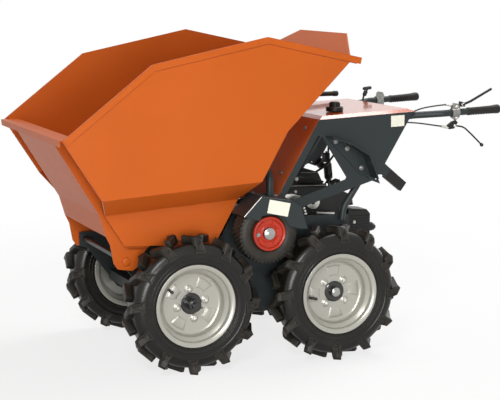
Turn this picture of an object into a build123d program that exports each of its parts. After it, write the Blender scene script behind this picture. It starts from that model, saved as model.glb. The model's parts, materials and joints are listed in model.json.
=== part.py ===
from build123d import *
import math
import os

os.makedirs("parts", exist_ok=True)

# Walk-behind site dumper: a skip on four lugged wheels, driven by two small friction wheels that
# sit between the tyres, with a petrol engine under a control console and two handlebar grips.
# Frame: origin on the ground under the middle of the machine, +X towards the skip's lip,
# +Y to the machine's left, +Z up. Millimetres.

# Overall places
LIP_X = 826.6
GRIP_END_X = -826.6

# Main wheels, 4.00-10 with chevron lugs
FRONT_AXLE_X = 374.0
WHEELBASE = 528.0
REAR_AXLE_X = FRONT_AXLE_X - WHEELBASE
AXLE_Z = 233.0
TRACK_Y = 341.2
LUG_TIP_R = 235.0
CARCASS_R = 212.0
RIM_FLANGE_R = 139.5
RIM_HALF = 51.2
BEAD_R = 127.0
LUG_COUNT = 12
LUG_YAW = 38.0
LUG_THICK = 22.0
LUG_LONG = 35.0
LUG_MID_Y = 21.5
YAW = math.radians(LUG_YAW)
LUG_CORNER = LUG_LONG * math.sin(YAW) + LUG_THICK / 2 * math.cos(YAW)
HUB_BORE_R = 12.5
STUB_R = 12.45
STUD_CIRCLE_R = 50.5
DISC_FACE_Y = 1.0
FAN_PROUD = 2.5

# Friction drive wheels between the main wheels
DRIVE_X = 109.0
DRIVE_Z = 458.0
DRIVE_Y = 341.2
DRIVE_R = 104.0
DRIVE_HALF = 40.0
DRIVE_RIM_R = 58.0
DRIVE_SHAFT_R = 9.95
DRIVE_BORE_R = 10.0

# Skip
SKIN = 3.0
SKIP_HALF = 384.7
SKIP_LOW_HALF = 271.0
FOLD_Z_REAR = 635.0
FOLD_X_REAR = 136.0
FOLD_Z_FRONT = 599.0
FOLD_X_FRONT = 685.0
FOLD_DROP = 69.0
RIM_STRIP = 22.0
RIM_PROUD = 3.5
FLANGE_DEPTH = 45.0
REAR_RAISE_HALF = 190.0
PIVOT_X = 569.0
PIVOT_Z = 372.0
PIVOT_R = 10.0
CRADLE_HALF = 245.0
LEG_SKIN = 5.0

# Chassis and console
CHASSIS_Y = 228.0
CHASSIS_SKIN = 6.0
CONSOLE_HALF = 261.0
CONSOLE_SKIN = 3.0
GUARD_OUT = 390.0
GUARD_IN = 262.0
TUBE_R = 12.5
PAN_RISE = 10.0
PAN_BORDER = 20.0
FILLER_CENTRE = (-244.0, 145.0)
FILLER_Z = 837.8
HANDLE_R = 12.0
HANDLE_Y = 240.1

SHAFT_HOLES = [
    (FRONT_AXLE_X, AXLE_Z, 24.0),
    (REAR_AXLE_X, AXLE_Z, 24.0),
    (DRIVE_X, DRIVE_Z, 16.0),
    (PIVOT_X, PIVOT_Z, PIVOT_R),
]

# Side outline of the skip as (x, z), from the lip round the top to the rear and the floor
LIP = (818.0, 797.0)
SHOULDER = (522.0, 1029.0)
PEAK = (120.0, 1113.0)
REAR_TIP = (-225.0, 1040.0)
REAR_TOP = (-188.0, 1032.0)
REAR_KNEE = (45.0, 799.0)
FLOOR_REAR = (262.0, 412.0)
FLOOR_FRONT = (580.0, 428.0)
REAR_PEAK = (-268.0, 1115.0)


def side_plane(y):
    """A sketch plane facing -Y, with its own x and y along X and Z."""
    return Plane(origin=(0, y, 0), x_dir=(1, 0, 0), z_dir=(0, -1, 0))


def end_plane(x):
    """A sketch plane facing +X, with its own x and y along Y and Z."""
    return Plane(origin=(x, 0, 0), x_dir=(0, 1, 0), z_dir=(1, 0, 0))


def plate(points, y_high, thickness):
    """A plate cut to the (x, z) outline, from y_high inwards by its thickness."""
    return extrude(side_plane(y_high) * make_face(Polyline(*points, close=True)), thickness)


def across(points, half):
    """A prism of the (x, z) outline, centred on the machine and 2 * half wide."""
    return plate(points, half, 2 * half)


def rod_y(x, z, radius, y_low, y_high):
    """A round bar along Y."""
    return Pos(x, (y_low + y_high) / 2, z) * Rot(90, 0, 0) * Cylinder(radius, y_high - y_low)


def box_between(low, high):
    """A box from its lowest corner to its highest corner."""
    size = [h - l for l, h in zip(low, high)]
    middle = [(h + l) / 2 for l, h in zip(low, high)]
    return Pos(*middle) * Box(*size)


def shifted(points, depth):
    """An open chain of (x, z) points moved to its right by depth, with mitred corners."""
    moved = []
    for i, (x, z) in enumerate(points):
        before = points[max(i - 1, 0)]
        after = points[min(i + 1, len(points) - 1)]
        normals = []
        for a, b in ((before, (x, z)), ((x, z), after)):
            length = math.dist(a, b)
            if length > 0:
                normals.append(((b[1] - a[1]) / length, (a[0] - b[0]) / length))
        nx = sum(n[0] for n in normals) / len(normals)
        nz = sum(n[1] for n in normals) / len(normals)
        scale = depth / (nx * nx + nz * nz)
        moved.append((x + nx * scale, z + nz * scale))
    return moved


def strip(points, depth, y_high, thickness):
    """A strip that follows a chain of (x, z) points, depth wide on the chain's right."""
    return plate(list(points) + shifted(points, depth)[::-1], y_high, thickness)


def both(part):
    """The part and its mirror image on the machine's other side."""
    return [part, mirror(part, about=Plane.XZ)]


def tube(points, radii, radius):
    """A round bar along straight runs joined by arcs of the given radii."""
    path = FilletPolyline(*points, radius=radii)
    start = Plane(origin=path @ 0, z_dir=path % 0)
    return sweep(start * Circle(radius), path=path)


def turned(a, b, profile):
    """A turned piece along the line from a to b, from (distance, radius) pairs."""
    rim = [(r, d) for d, r in profile]
    if profile[0][1] > 0:
        rim = [(0.0, profile[0][0])] + rim
    if profile[-1][1] > 0:
        rim = rim + [(0.0, profile[-1][0])]
    solid = revolve(Plane.XZ * make_face(Polyline(*rim, close=True)), Axis.Z)
    return Plane(origin=a, z_dir=Vector(*b) - Vector(*a)).location * solid


def ringed(outline):
    """A ring about Y from (radius, y) points."""
    return revolve(make_face(Polyline(*outline, close=True)), Axis.Y)


def front_x(z):
    """The x of the skip's front edge at a height."""
    slope = (LIP[0] - FLOOR_FRONT[0]) / (LIP[1] - FLOOR_FRONT[1])
    return FLOOR_FRONT[0] + (z - FLOOR_FRONT[1]) * slope


def rear_x(z):
    """The x of the rear wall's outer face at a height, below the knee."""
    slope = (REAR_KNEE[0] - FLOOR_REAR[0]) / (REAR_KNEE[1] - FLOOR_REAR[1])
    return FLOOR_REAR[0] + (z - FLOOR_REAR[1]) * slope


# ---------------------------------------------------------------- main wheels

def lug():
    """One chevron lug at the top of the tyre, on the +Y side."""
    top = math.sqrt(LUG_TIP_R ** 2 - LUG_CORNER ** 2)
    outline = [
        (-LUG_LONG, CARCASS_R - 8), (-LUG_LONG, top), (LUG_LONG - 14, top),
        (LUG_LONG, top - 14), (LUG_LONG, CARCASS_R - 26), (LUG_LONG - 24, CARCASS_R - 14),
    ]
    bar = extrude(Plane.YZ * make_face(Polyline(*outline, close=True)), LUG_THICK / 2, both=True)
    return Pos(0, LUG_MID_Y, 0) * Rot(0, 0, LUG_YAW) * bar


def main_tyre():
    """The carcass as a ring, with two rows of staggered chevron lugs."""
    half = [(BEAD_R + 0.5, 45.5), (RIM_FLANGE_R + 1.5, 45.5), (168, 55.0), (202, 50.0), (CARCASS_R, 30.0)]
    ring = ringed(half + [(r, -y) for r, y in half[::-1]])
    one = lug()
    other = mirror(one, about=Plane.XZ)
    pitch = 360 / LUG_COUNT
    first = pitch / 4 - math.degrees(math.asin(LUG_CORNER / LUG_TIP_R))
    lugs = []
    for i in range(LUG_COUNT):
        lugs.append(Rot(0, first + i * pitch, 0) * one)
        lugs.append(Rot(0, first + (i + 0.5) * pitch, 0) * other)
    return ring.fuse(*lugs)


def main_rim():
    """A drop-centre steel rim with a dished disc, four raised fans and four stud seats."""
    outer = [
        (RIM_FLANGE_R, RIM_HALF), (RIM_FLANGE_R - 1, 46.0), (BEAD_R, 45.5), (BEAD_R - 1, 32.0),
        (112.0, 24.0), (112.0, -20.0), (BEAD_R - 1, -30.0), (BEAD_R, -45.5), (RIM_FLANGE_R - 1, -46.0),
        (RIM_FLANGE_R, -RIM_HALF),
    ]
    inner = [
        (RIM_FLANGE_R - 4, -RIM_HALF), (BEAD_R - 4, -48.5), (BEAD_R - 5, -31.0), (108.0, -20.0), (108.0, 2.0),
        (98.0, DISC_FACE_Y - 5), (36.0, DISC_FACE_Y - 5), (36.0, DISC_FACE_Y), (98.0, DISC_FACE_Y),
        (106.0, 6.0), (108.0, 12.0), (108.0, 26.3), (BEAD_R - 4.5, 34.6), (BEAD_R - 3.5, 47.5),
        (RIM_FLANGE_R - 8, 51.0),
    ]
    rim = ringed(outer + inner)
    for i in range(4):
        rim = rim + Rot(0, -90 * i - 45, 0) * rim_fan()
        seat = turned((0, DISC_FACE_Y - 1, 0), (0, 9, 0), [(0, 13), (1, 13), (4.5, 9)])
        rim = rim + Rot(0, -90 * i, 0) * Pos(STUD_CIRCLE_R, 0, 0) * seat
    return rim


def rim_fan():
    """One fan-shaped raised panel of the disc, about +X."""
    low = DISC_FACE_Y - 1
    high = DISC_FACE_Y + FAN_PROUD
    outline = [(54.0, low), (92.0, low), (90.0, high), (56.0, high)]
    return Rot(0, -17, 0) * revolve(make_face(Polyline(*outline, close=True)), Axis.Y, 34)


def front_hub():
    """The front wheel's hub: a barrel on the stub, its flange behind the disc and a plain collar."""
    return ringed([
        (HUB_BORE_R, -42.0), (26.0, -42.0), (26.0, -12.0), (66.0, -12.0), (66.0, DISC_FACE_Y - 5.2),
        (35.8, DISC_FACE_Y - 5.2), (35.8, 3.0), (32.0, 6.0), (26.0, 6.0), (26.0, 9.0), (HUB_BORE_R, 9.0),
    ])


def rear_hub():
    """The driven wheel's hub, closed by a domed cap."""
    return ringed([
        (HUB_BORE_R, -42.0), (26.0, -42.0), (26.0, -12.0), (66.0, -12.0), (66.0, DISC_FACE_Y - 5.2),
        (35.8, DISC_FACE_Y - 5.2), (35.8, 3.0), (32.0, 6.0), (20.0, 6.0), (20.0, 13.0), (17.0, 18.0),
        (9.0, 20.5), (0.0, 21.0), (0.0, 10.0), (HUB_BORE_R, 10.0),
    ])


# ------------------------------------------------------------- friction wheels

def drive_tyre():
    """The small tyre that presses on both main tyres."""
    half = [(DRIVE_RIM_R - 8.5, 30.0), (DRIVE_RIM_R + 1.0, 31.0), (78.0, DRIVE_HALF), (DRIVE_R, 31.0)]
    return ringed(half + [(r, -y) for r, y in half[::-1]])


def drive_rim():
    """The pressed rim of a friction wheel with its bearing barrel, four ribs and a domed cap."""
    rim = ringed([
        (DRIVE_BORE_R, -36.0), (17.0, -36.0), (17.0, 22.0), (44.0, 26.0), (45.0, -33.0), (55.0, -36.0),
        (55.0, -31.5), (49.0, -30.5), (48.5, 30.5), (DRIVE_RIM_R - 1, 31.5), (DRIVE_RIM_R, 44.0),
        (55.0, 46.5), (50.0, 44.0), (48.0, 36.0), (30.0, 33.0), (26.0, 36.0), (21.0, 36.0), (19.0, 44.0),
        (12.0, 48.0), (0.0, 50.0), (0.0, 42.0), (DRIVE_BORE_R, 42.0),
    ])
    rib_face = make_face(Polyline((32.0, 32.0), (46.0, 34.0), (44.0, 39.5), (34.0, 38.0), close=True))
    rib = revolve(rib_face, Axis.Y, 48)
    for i in range(4):
        rim = rim + Rot(0, 24 - 90 * i, 0) * rib
    return rim


# ------------------------------------------------------------------------ skip

def side_sheet():
    """The left side of the skip: upper panel, inward band and lower panel of one folded sheet."""
    slope = (FOLD_Z_FRONT - FOLD_Z_REAR) / (FOLD_X_FRONT - FOLD_X_REAR)
    start_x = -400.0
    fold_z = FOLD_Z_REAR + (start_x - FOLD_X_REAR) * slope
    low_z = fold_z - FOLD_DROP
    lean = math.atan2(FOLD_DROP, SKIP_HALF - SKIP_LOW_HALF)
    lift = SKIN * (1 / math.cos(lean) - math.tan(lean))
    section = [
        (SKIP_HALF, 1200.0), (SKIP_HALF, fold_z), (SKIP_LOW_HALF, low_z), (SKIP_LOW_HALF, 300.0),
        (SKIP_LOW_HALF - SKIN, 300.0), (SKIP_LOW_HALF - SKIN, low_z + lift),
        (SKIP_HALF - SKIN, fold_z + lift), (SKIP_HALF - SKIN, 1200.0),
    ]
    face = end_plane(start_x) * make_face(Polyline(*section, close=True))
    folded = extrude(face, 1400.0, dir=(1, 0, slope))
    outline = [LIP, SHOULDER, PEAK, REAR_TIP, REAR_TOP, REAR_KNEE, FLOOR_REAR, FLOOR_FRONT]
    return folded & across(outline, SKIP_HALF + 1)


def skip_side():
    """The left side sheet with the folded rim that stiffens its top edge."""
    rim = strip([LIP, SHOULDER, PEAK, REAR_TIP], -RIM_STRIP, SKIP_HALF + RIM_PROUD, RIM_PROUD + 1)
    return side_sheet() + rim


def tub_core():
    """The solid that fills the space between the two side sheets."""
    slope = (FOLD_Z_FRONT - FOLD_Z_REAR) / (FOLD_X_FRONT - FOLD_X_REAR)
    start_x = -400.0
    fold_z = FOLD_Z_REAR + (start_x - FOLD_X_REAR) * slope
    low_z = fold_z - FOLD_DROP
    lean = math.atan2(FOLD_DROP, SKIP_HALF - SKIP_LOW_HALF)
    lift = SKIN * (1 / math.cos(lean) - math.tan(lean))
    half = [
        (SKIP_HALF - SKIN, 1200.0), (SKIP_HALF - SKIN, fold_z + lift),
        (SKIP_LOW_HALF - SKIN, low_z + lift), (SKIP_LOW_HALF - SKIN, 300.0),
    ]
    section = half + [(-y, z) for y, z in half[::-1]]
    face = end_plane(start_x) * make_face(Polyline(*section, close=True))
    return extrude(face, 1400.0, dir=(1, 0, slope))


def skip_wrapper():
    """The skip's centre sheet: front wall with its lip, floor, rear wall and flared rear top."""
    wall_top = (LIP[0] - FLANGE_DEPTH, LIP[1])
    wall_low = (FLOOR_FRONT[0] - FLANGE_DEPTH, FLOOR_FRONT[1] - 2.3)
    chain = [
        (LIP_X - 2, LIP[1] - 20), (LIP_X, LIP[1] - 2), wall_top, wall_low,
        (FLOOR_REAR[0] + 1, FLOOR_REAR[1]), REAR_KNEE, REAR_PEAK,
    ]
    sheet = across(chain + shifted(chain, SKIN)[::-1], SKIP_HALF + 20)
    sheet = sheet & tub_core()
    corner = [
        (-SKIP_HALF, REAR_TOP[1]), (-REAR_RAISE_HALF, REAR_PEAK[1] - 1), (REAR_RAISE_HALF, REAR_PEAK[1] - 1),
        (SKIP_HALF, REAR_TOP[1]), (SKIP_HALF, 300.0), (-SKIP_HALF, 300.0),
    ]
    trim = extrude(end_plane(-400.0) * make_face(Polyline(*corner, close=True)), 1400)
    return sheet & trim


def skip_cradle():
    """The carrier under the skip: a front plate, two legs down to the pivot and a cross plate."""
    leg = [
        (front_x(780) + 6, 780.0), (front_x(530) + 12, 530.0), (636.0, 458.0), (622.0, 430.0), (610.0, 366.0),
        (596.0, 346.0), (545.0, 338.0), (525.0, 352.0), (500.0, 405.0),
        (480.0, FLOOR_REAR[1] + 10.4), (FLOOR_FRONT[0] - FLANGE_DEPTH + 1, FLOOR_FRONT[1] - 3.0),
        (front_x(780) - FLANGE_DEPTH + 1.5, 780.0),
    ]
    side = plate(leg, CRADLE_HALF, LEG_SKIN)
    boss = rod_y(PIVOT_X, PIVOT_Z, 22, CRADLE_HALF - 16, CRADLE_HALF)
    legs = both(side + boss)
    face = [
        (front_x(780) + 6, 780.0), (front_x(530) + 12, 530.0), (636.0, 458.0),
        (631.0, 458.0), (front_x(530) + 7, 530.0), (front_x(780) + 1, 780.0),
    ]
    body = across(face, CRADLE_HALF)
    for part in legs:
        body = body + part
    return body - rod_y(PIVOT_X, PIVOT_Z, PIVOT_R + 0.05, -300, 300)


def tipping_handle():
    """The round bar with a ball end on the skip's rear wall, right side, that the operator lifts."""
    z = 863.0
    x_wall = REAR_KNEE[0] - (z - REAR_KNEE[1]) - 1.0
    profile = [(0, 9), (450, 9), (453, 10.5), (468, 10.5), (471, 8)]
    bar = turned((x_wall + 40, -250, z), (-452.0, -250, z + 4), profile)
    behind = [
        (x_wall - 0.2, z), (x_wall - 40.2, z + 40), (-500, z + 40), (-500, z - 60), (x_wall + 59.8, z - 60),
    ]
    return bar & across(behind, 300)


def tube_straight(a, b, radius):
    """A straight round bar from a to b."""
    line = Line(a, b)
    return sweep(Plane(origin=a, z_dir=line % 0) * Circle(radius), path=line)


# --------------------------------------------------------------------- chassis

def chassis_plate():
    """The left main side plate, from the skip pivot back to the engine's rear rail."""
    outline = [
        (590.0, 396.0), (548.0, 398.0), (500.0, 385.0), (300.0, 380.0), (222.0, 430.0), (178.0, 508.0),
        (40.0, 514.0), (-30.0, 484.0), (-263.0, 480.0), (-263.0, 418.0), (-226.0, 400.0), (-214.0, 196.0),
        (-180.0, 165.0), (400.0, 165.0), (450.0, 190.0), (560.0, 338.0), (590.0, 346.0),
    ]
    body = plate(outline, CHASSIS_Y, CHASSIS_SKIN)
    for x, z, radius in SHAFT_HOLES:
        body = body - rod_y(x, z, radius, 0, CHASSIS_Y + 1)
    return body


def cross_members():
    """Square bars between the two side plates."""
    half = CHASSIS_Y - CHASSIS_SKIN
    places = [(460.0, 235.0, 18.0), (170.0, 190.0, 18.0), (-185.0, 186.0, 14.0)]
    return [box_between((x - s, -half, z - s), (x + s, half, z + s)) for x, z, s in places]


def axle(x, stub_half):
    """A cross axle with a stub for a wheel at each end."""
    half = CHASSIS_Y + 50
    body = rod_y(x, AXLE_Z, 24, -half, half)
    return body + rod_y(x, AXLE_Z, STUB_R, -stub_half, stub_half)


def drive_shaft():
    """The cross shaft that carries both friction wheels."""
    body = rod_y(DRIVE_X, DRIVE_Z, 16, -CONSOLE_HALF - 20, CONSOLE_HALF + 20)
    return body + rod_y(DRIVE_X, DRIVE_Z, DRIVE_SHAFT_R, -DRIVE_Y - 40, DRIVE_Y + 40)


GUARD_TOP = [(204.0, 521.0), (142.0, 586.0), (33.0, 567.0), (-5.0, 543.0), (-28.0, 468.0)]


def guard():
    """The folded cover over the left friction wheel, with a notch that clears its rim."""
    notch = [(2.0, 470.0), (40.0, 481.0), (66.0, 522.0), (140.0, 522.0), (147.0, 504.0)]
    cover = plate(GUARD_TOP + notch, GUARD_OUT, GUARD_OUT - GUARD_IN)
    hollow = shifted(GUARD_TOP, -SKIN) + [(-26.0, 440.0), (230.0, 440.0)]
    body = cover - plate(hollow, GUARD_OUT - SKIN, GUARD_OUT)
    return body - box_between((150, GUARD_IN - 1, 500), (230, SKIP_LOW_HALF + 6, 600))


def skip_rest():
    """The bent tube hoop that the skip comes down on, its collared feet seated on the guards."""
    x = 70.0
    side = 292.0
    top = 660.0
    start = 565.0
    points = [(x, -side, start), (x, -side, top), (x, side, top), (x, side, start)]
    foot = Pos(x, side, 574.0) * Cylinder(17, 18)
    hoop = tube(points, [45, 45], TUBE_R).fuse(*both(foot))
    high, low = GUARD_TOP[1], GUARD_TOP[2]
    below = [(high[0], high[1] + 0.05), (low[0], low[1] + 0.05), (low[0], 500.0), (high[0], 500.0)]
    return hoop - across(below, side + 40)


def rest_pads():
    """Rubber blocks on the hoop that take the skip's rear wall."""
    middle = 660.0
    x_hoop = 84.0
    high = middle + 15
    low = middle - 15
    block = [(rear_x(high) - 1, high), (x_hoop, high), (x_hoop, low), (rear_x(low) - 1, low)]
    return both(plate(block, 200.0, 40.0))


# --------------------------------------------------------------------- console

CONSOLE_FRONT_TOP = (-128.0, 821.0)
CONSOLE_REAR_TOP = (-506.0, 838.5)
CONSOLE_FOOT = (26.0, 560.0)


SIDE_EARS = {
    "left": [
        (-388.0, 658.0), (-413.0, 637.0), (-387.0, 609.0), (-375.0, 620.0), (-362.0, 620.0), (-339.0, 600.0),
    ],
    "right": [(-411.0, 662.0), (-386.0, 620.0), (-362.0, 596.0), (-340.0, 614.0), (-332.0, 600.0)],
}
PAD_BLOCKS = {
    "left": [(-413.0, 637.0), (-475.0, 586.0), (-453.0, 557.0), (-387.0, 609.0)],
    "right": [(-386.0, 620.0), (-396.0, 588.0), (-383.0, 576.0), (-362.0, 596.0)],
}


def console_side(ear):
    """A console plate: an A-shaped frame with a triangular opening, its lower arm folded inwards."""
    outline = [CONSOLE_FRONT_TOP, CONSOLE_REAR_TOP, (-490.0, 826.0)] + ear + [
        (-319.0, 594.0), (-60.0, 518.0), (-22.0, 518.0), (0.0, 545.0), CONSOLE_FOOT,
    ]
    window = [
        (-124.0, 764.0), (-132.0, 767.0), (-140.0, 764.0), (-237.0, 617.0), (-232.0, 609.0),
        (-20.0, 543.0), (-2.0, 560.0),
    ]
    body = plate(outline, CONSOLE_HALF, CONSOLE_SKIN) - plate(window, CONSOLE_HALF + 1, CONSOLE_SKIN + 2)
    arm_fold = strip([(-60.0, 518.0), (-225.0, 566.4)], CONSOLE_SKIN, CONSOLE_HALF - CONSOLE_SKIN, 14)
    return body + arm_fold


def console_front_panel():
    """The sloping front face between the console's two side plates."""
    chain = [CONSOLE_FRONT_TOP, (22.0, 566.0), (50.0, 518.4)]
    return across(chain + shifted(chain, SKIN)[::-1], CONSOLE_HALF - CONSOLE_SKIN)


def console_top():
    """The console's pressed top cover: a raised middle, a sloping border and a turned-down rear lip."""
    length = 376.0
    width = 2 * (CONSOLE_HALF - CONSOLE_SKIN)
    rise = CONSOLE_REAR_TOP[1] - CONSOLE_FRONT_TOP[1]
    slope = math.atan2(rise, CONSOLE_FRONT_TOP[0] - CONSOLE_REAR_TOP[0])
    ahead = Vector(-math.cos(slope), 0, math.sin(slope))
    front = Vector(CONSOLE_FRONT_TOP[0] - 4, 0, CONSOLE_FRONT_TOP[1])
    middle = front + ahead * (length / 2)
    base = Plane(origin=middle, x_dir=ahead, z_dir=(math.sin(slope), 0, math.cos(slope)))
    inset = 2 * PAN_BORDER
    top = base.offset(PAN_RISE) * Rectangle(length - inset, width - inset)
    sheet = 3.2
    raised = loft([base * Rectangle(length, width), top], ruled=True)
    outer = raised + extrude(base * Rectangle(length, width), -sheet)
    drop = base.z_dir * -sheet
    pan = outer - Pos(*drop) * outer
    x_rear = CONSOLE_FRONT_TOP[0] - 4 - length * math.cos(slope)
    z_rear = CONSOLE_FRONT_TOP[1] + length * math.sin(slope)
    lip = box_between((x_rear, -222, z_rear - 12), (x_rear + SKIN, 222, z_rear - 1))
    notch = box_between((x_rear - 1, HANDLE_Y - 14, 800), (x_rear + 22, HANDLE_Y + 14, z_rear + 0.6))
    pan = pan + lip
    for cut in both(notch):
        pan = pan - cut
    return pan


def filler_cap():
    """The fuel filler cap: a neck ring, a wide flange and a ribbed grip knob."""
    x, y = FILLER_CENTRE
    base = (x, y, FILLER_Z)
    profile = [(0, 29), (2, 31), (14, 31), (17, 28), (17, 19), (32, 17), (34, 15)]
    body = turned(base, (x, y, FILLER_Z + 9), profile)
    for i in range(12):
        rib = Pos(x, y, FILLER_Z + 24) * Rot(0, 0, 30 * i) * Pos(18.2, 0, 0) * Box(3, 3.4, 13)
        body = body + rib
    return body


def side_bracket():
    """The folded bracket on a console plate, with its outer flange and a drilled end lug."""
    edge = [(-155.0, 761.0), (-226.0, 738.0), (-295.0, 696.0), (-318.0, 643.0), (-330.0, 613.0)]
    lug = [(-320.0, 640.0), (-352.0, 624.0), (-368.0, 588.0), (-336.0, 600.0), (-316.0, 612.0)]
    base = plate(edge + [(-290.0, 625.0), (-180.0, 735.0)], CONSOLE_HALF + 4, 4)
    flange = strip(edge, 4, CONSOLE_HALF + 60, 60)
    ear = plate(lug, CONSOLE_HALF + 4, 4) - rod_y(-352.0, 608.0, 4.5, CONSOLE_HALF - 1, CONSOLE_HALF + 5)
    return base + flange + ear


def rear_pads():
    """The rubber stops at the ends of the two console ears."""
    left = plate(PAD_BLOCKS["left"], CONSOLE_HALF, 20.0)
    right = mirror(plate(PAD_BLOCKS["right"], CONSOLE_HALF, 20.0), about=Plane.XZ)
    return [left, right]


# ---------------------------------------------------------------------- engine

def engine_block():
    """The engine's crankcase with its feet, a heavy plain mass."""
    case = box_between((-270, -100, 284), (-60, 110, 428))
    case = chamfer(case.edges().filter_by(Axis.Y), 16)
    feet = [box_between((-276, y - 22, 272), (-54, y + 22, 285)) for y in (-70, 80)]
    return case.fuse(*feet)


def engine_cylinder():
    """The leaning finned cylinder with its head, and the pressed cowl that guides its cooling air."""
    frame = Plane(origin=(-215, 10, 423), z_dir=(-0.42, 0, 0.907), x_dir=(0.907, 0, 0.42))
    body = frame * extrude(Rectangle(64, 92), 128)
    for i in range(9):
        body = body + frame.offset(16 + 12 * i) * extrude(RectangleRounded(96, 128, 10), 4)
    cowl = plate([
        (-76, 420), (-76, 574), (-231, 569), (-287, 549), (-324, 534), (-338, 519), (-343, 492), (-300, 487),
        (-300, 440), (-254, 420),
    ], 112, 40)
    cowl = chamfer(cowl.faces().sort_by(Axis.Y)[-1].edges(), 5)
    return body + cowl - box_between((-400, -150, 380), (0, 150, 428))


def engine_bed():
    """The plate that the engine is bolted to, between the two side plates."""
    half = CHASSIS_Y - CHASSIS_SKIN
    return box_between((-330, -half, 266), (0, half, 272))


def transmission_case():
    """The gear case round the drive shaft's middle."""
    body = box_between((50, -110, 300), (165, 110, 500))
    body = chamfer(body.edges().filter_by(Axis.Y), 14)
    return body - rod_y(DRIVE_X, DRIVE_Z, 16.2, -200, 200)


def air_filter():
    """The intake housing over the engine: a base, a sloping cover and a carrying strap."""
    base = plate([(-110, 558), (-250, 556.5), (-254, 562), (-250, 568), (-128, 574)], 70, 160)
    cover = plate([(-146, 564), (-251, 560), (-226, 610), (-216, 614), (-156, 617), (-146, 610)], 52, 116)
    cover = chamfer(cover.edges().filter_by(Axis.Y).sort_by(Axis.Z)[-4:], 3)
    strap = tube([(-120, 40, 568), (-129, 40, 612), (-160, 40, 612)], [14], 4)
    return base + cover + strap


def muffler_cover():
    """The exhaust's louvred cover behind the engine, with its pipe, outlet and heat plate."""
    box = plate([(-306, 372), (-394, 372), (-394, 462), (-384, 474), (-306, 476)], 142, 82)
    for i in range(8):
        z = 382 + 10.5 * i
        side_slot = box_between((-388, 139, z), (-312, 143, z + 4))
        rear_slot = box_between((-395, 68, z), (-391, 134, z + 4))
        box = box - side_slot - rear_slot
    pipe = turned((-320, 100, 400), (-270, 100, 400), [(0, 13), (44, 13), (44, 20), (50, 20)])
    outlet = turned((-390, 114, 412), (-430, 114, 407), [(0, 16), (24, 16), (34, 12), (40, 6)])
    plate_top = plate([(-308, 476.1), (-384, 474.1), (-384, 477), (-308, 485)], 138, 74)
    return [box + pipe + outlet, plate_top]


def recoil_cover():
    """The round fan and starter cover on the engine's right side, with its slotted dome."""
    profile = [(0, 92), (26, 92), (40, 84), (48, 60), (66, 56), (74, 48)]
    dome = turned((-140, -100, 372), (-140, -175, 372), profile)
    for i in range(12):
        slot = Pos(-140, -134, 372) * Rot(0, 30 * i, 0) * Pos(72, 0, 0) * Box(16, 24, 7)
        dome = dome - slot
    return dome


def fuel_tank():
    """The tank hung under the console's top, below the filler cap."""
    tank = box_between((-430, -60, 748), (-198, 205, 826))
    return chamfer(tank.edges().filter_by(Axis.Y), 14)


def gear_linkage():
    """The rod from the gear lever down to the transmission, with its rubber boot."""
    top = (-404, -224, 692)
    boot = (-398, -224, 604)
    low = (-406, -224, 524)
    rod = tube([top, boot, low, (-380, -240, 300), (-330, -226, 276)], [60, 60, 20], 4)
    return rod + turned(boot, low, [(0, 11), (4, 16), (58, 16), (64, 11), (80, 8)])


# --------------------------------------------------------------------- handles

HANDLE_POINTS = [
    (-231.0, HANDLE_Y, 464.0),
    (-236.0, HANDLE_Y, 506.0),
    (-290.0, HANDLE_Y, 586.0),
    (-434.0, HANDLE_Y, 814.0),
    (-505.0, HANDLE_Y, 823.0),
    (-605.0, 288.0, 831.0),
    (GRIP_END_X + 3, 298.0, 842.0),
]
HANDLE_RADII = [60, 200, 60, 70, 50]
GRIP_PROFILE = [
    (0, 13.4), (3, 14.2), (9, 14.2), (11, 13.2), (60, 13.6), (100, 14.4), (112, 16.0), (124, 16.2),
    (129, 14.0),
]


def handle_tube():
    """The left handlebar, from its foot on the chassis rail up through the console to the grip."""
    return tube(HANDLE_POINTS, HANDLE_RADII, HANDLE_R)


def handle_point(x):
    """The place on the handlebar's last straight run at an x."""
    a = Vector(*HANDLE_POINTS[5])
    b = Vector(*HANDLE_POINTS[6])
    return a + (b - a) * ((x - a.X) / (b.X - a.X))


def grip():
    """The left rubber grip: a slightly tapered sleeve with a collar and a thick end."""
    end = handle_point(GRIP_END_X)
    start = handle_point(GRIP_END_X + 128.5)
    body = turned(tuple(start), tuple(end), GRIP_PROFILE)
    inside = handle_point(GRIP_END_X + 2.9)
    hole = tube_straight(tuple(handle_point(GRIP_END_X + 130)), tuple(inside), HANDLE_R + 0.1)
    return body - hole


def lever_clamp():
    """The left pressed clamp round the handlebar, with an arch over the tube and a tail below."""
    a = handle_point(-636.0)
    b = handle_point(-664.0)
    ring = turned(tuple(a), tuple(b), [(0, 16), (28, 16)])
    arch = plate([(-638, 842), (-641, 861), (-647, 867), (-662, 864), (-669, 850), (-669, 842)], 294, 16)
    tail = plate([(-668, 832), (-669, 817), (-654, 805), (-636, 816), (-638, 832)], 292, 12)
    body = ring + arch + tail
    bore = tube_straight(tuple(handle_point(-630.0)), tuple(handle_point(-670.0)), HANDLE_R + 0.1)
    return body - bore


def brake_levers():
    """The left handle's two levers: a straight one above the grip and a curved one below it."""
    y = 286.0
    block = plate([(-670, 853), (-672, 872), (-686, 868), (-690, 853)], y + 8, 16)
    pivot = rod_y(-680, 861, 4, y - 14, y + 14)
    blade = tube([(-684, y, 860), (-712, y + 4, 871), (-797, y + 6, 914)], [60], 4.5)
    body = plate([(-640, 801), (-622, 788), (-628, 774), (-648, 776), (-662, 798), (-654, 804.8)], y + 6, 12)
    low = [(-652, y, 786), (-690, y, 780), (-722, y + 2, 752), (-762, y + 4, 715)]
    curve = tube(low, [45, 80], 3)
    knob = Pos(-764, y + 4, 713) * Sphere(7)
    return [block + pivot + blade, body + curve + knob]


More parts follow.
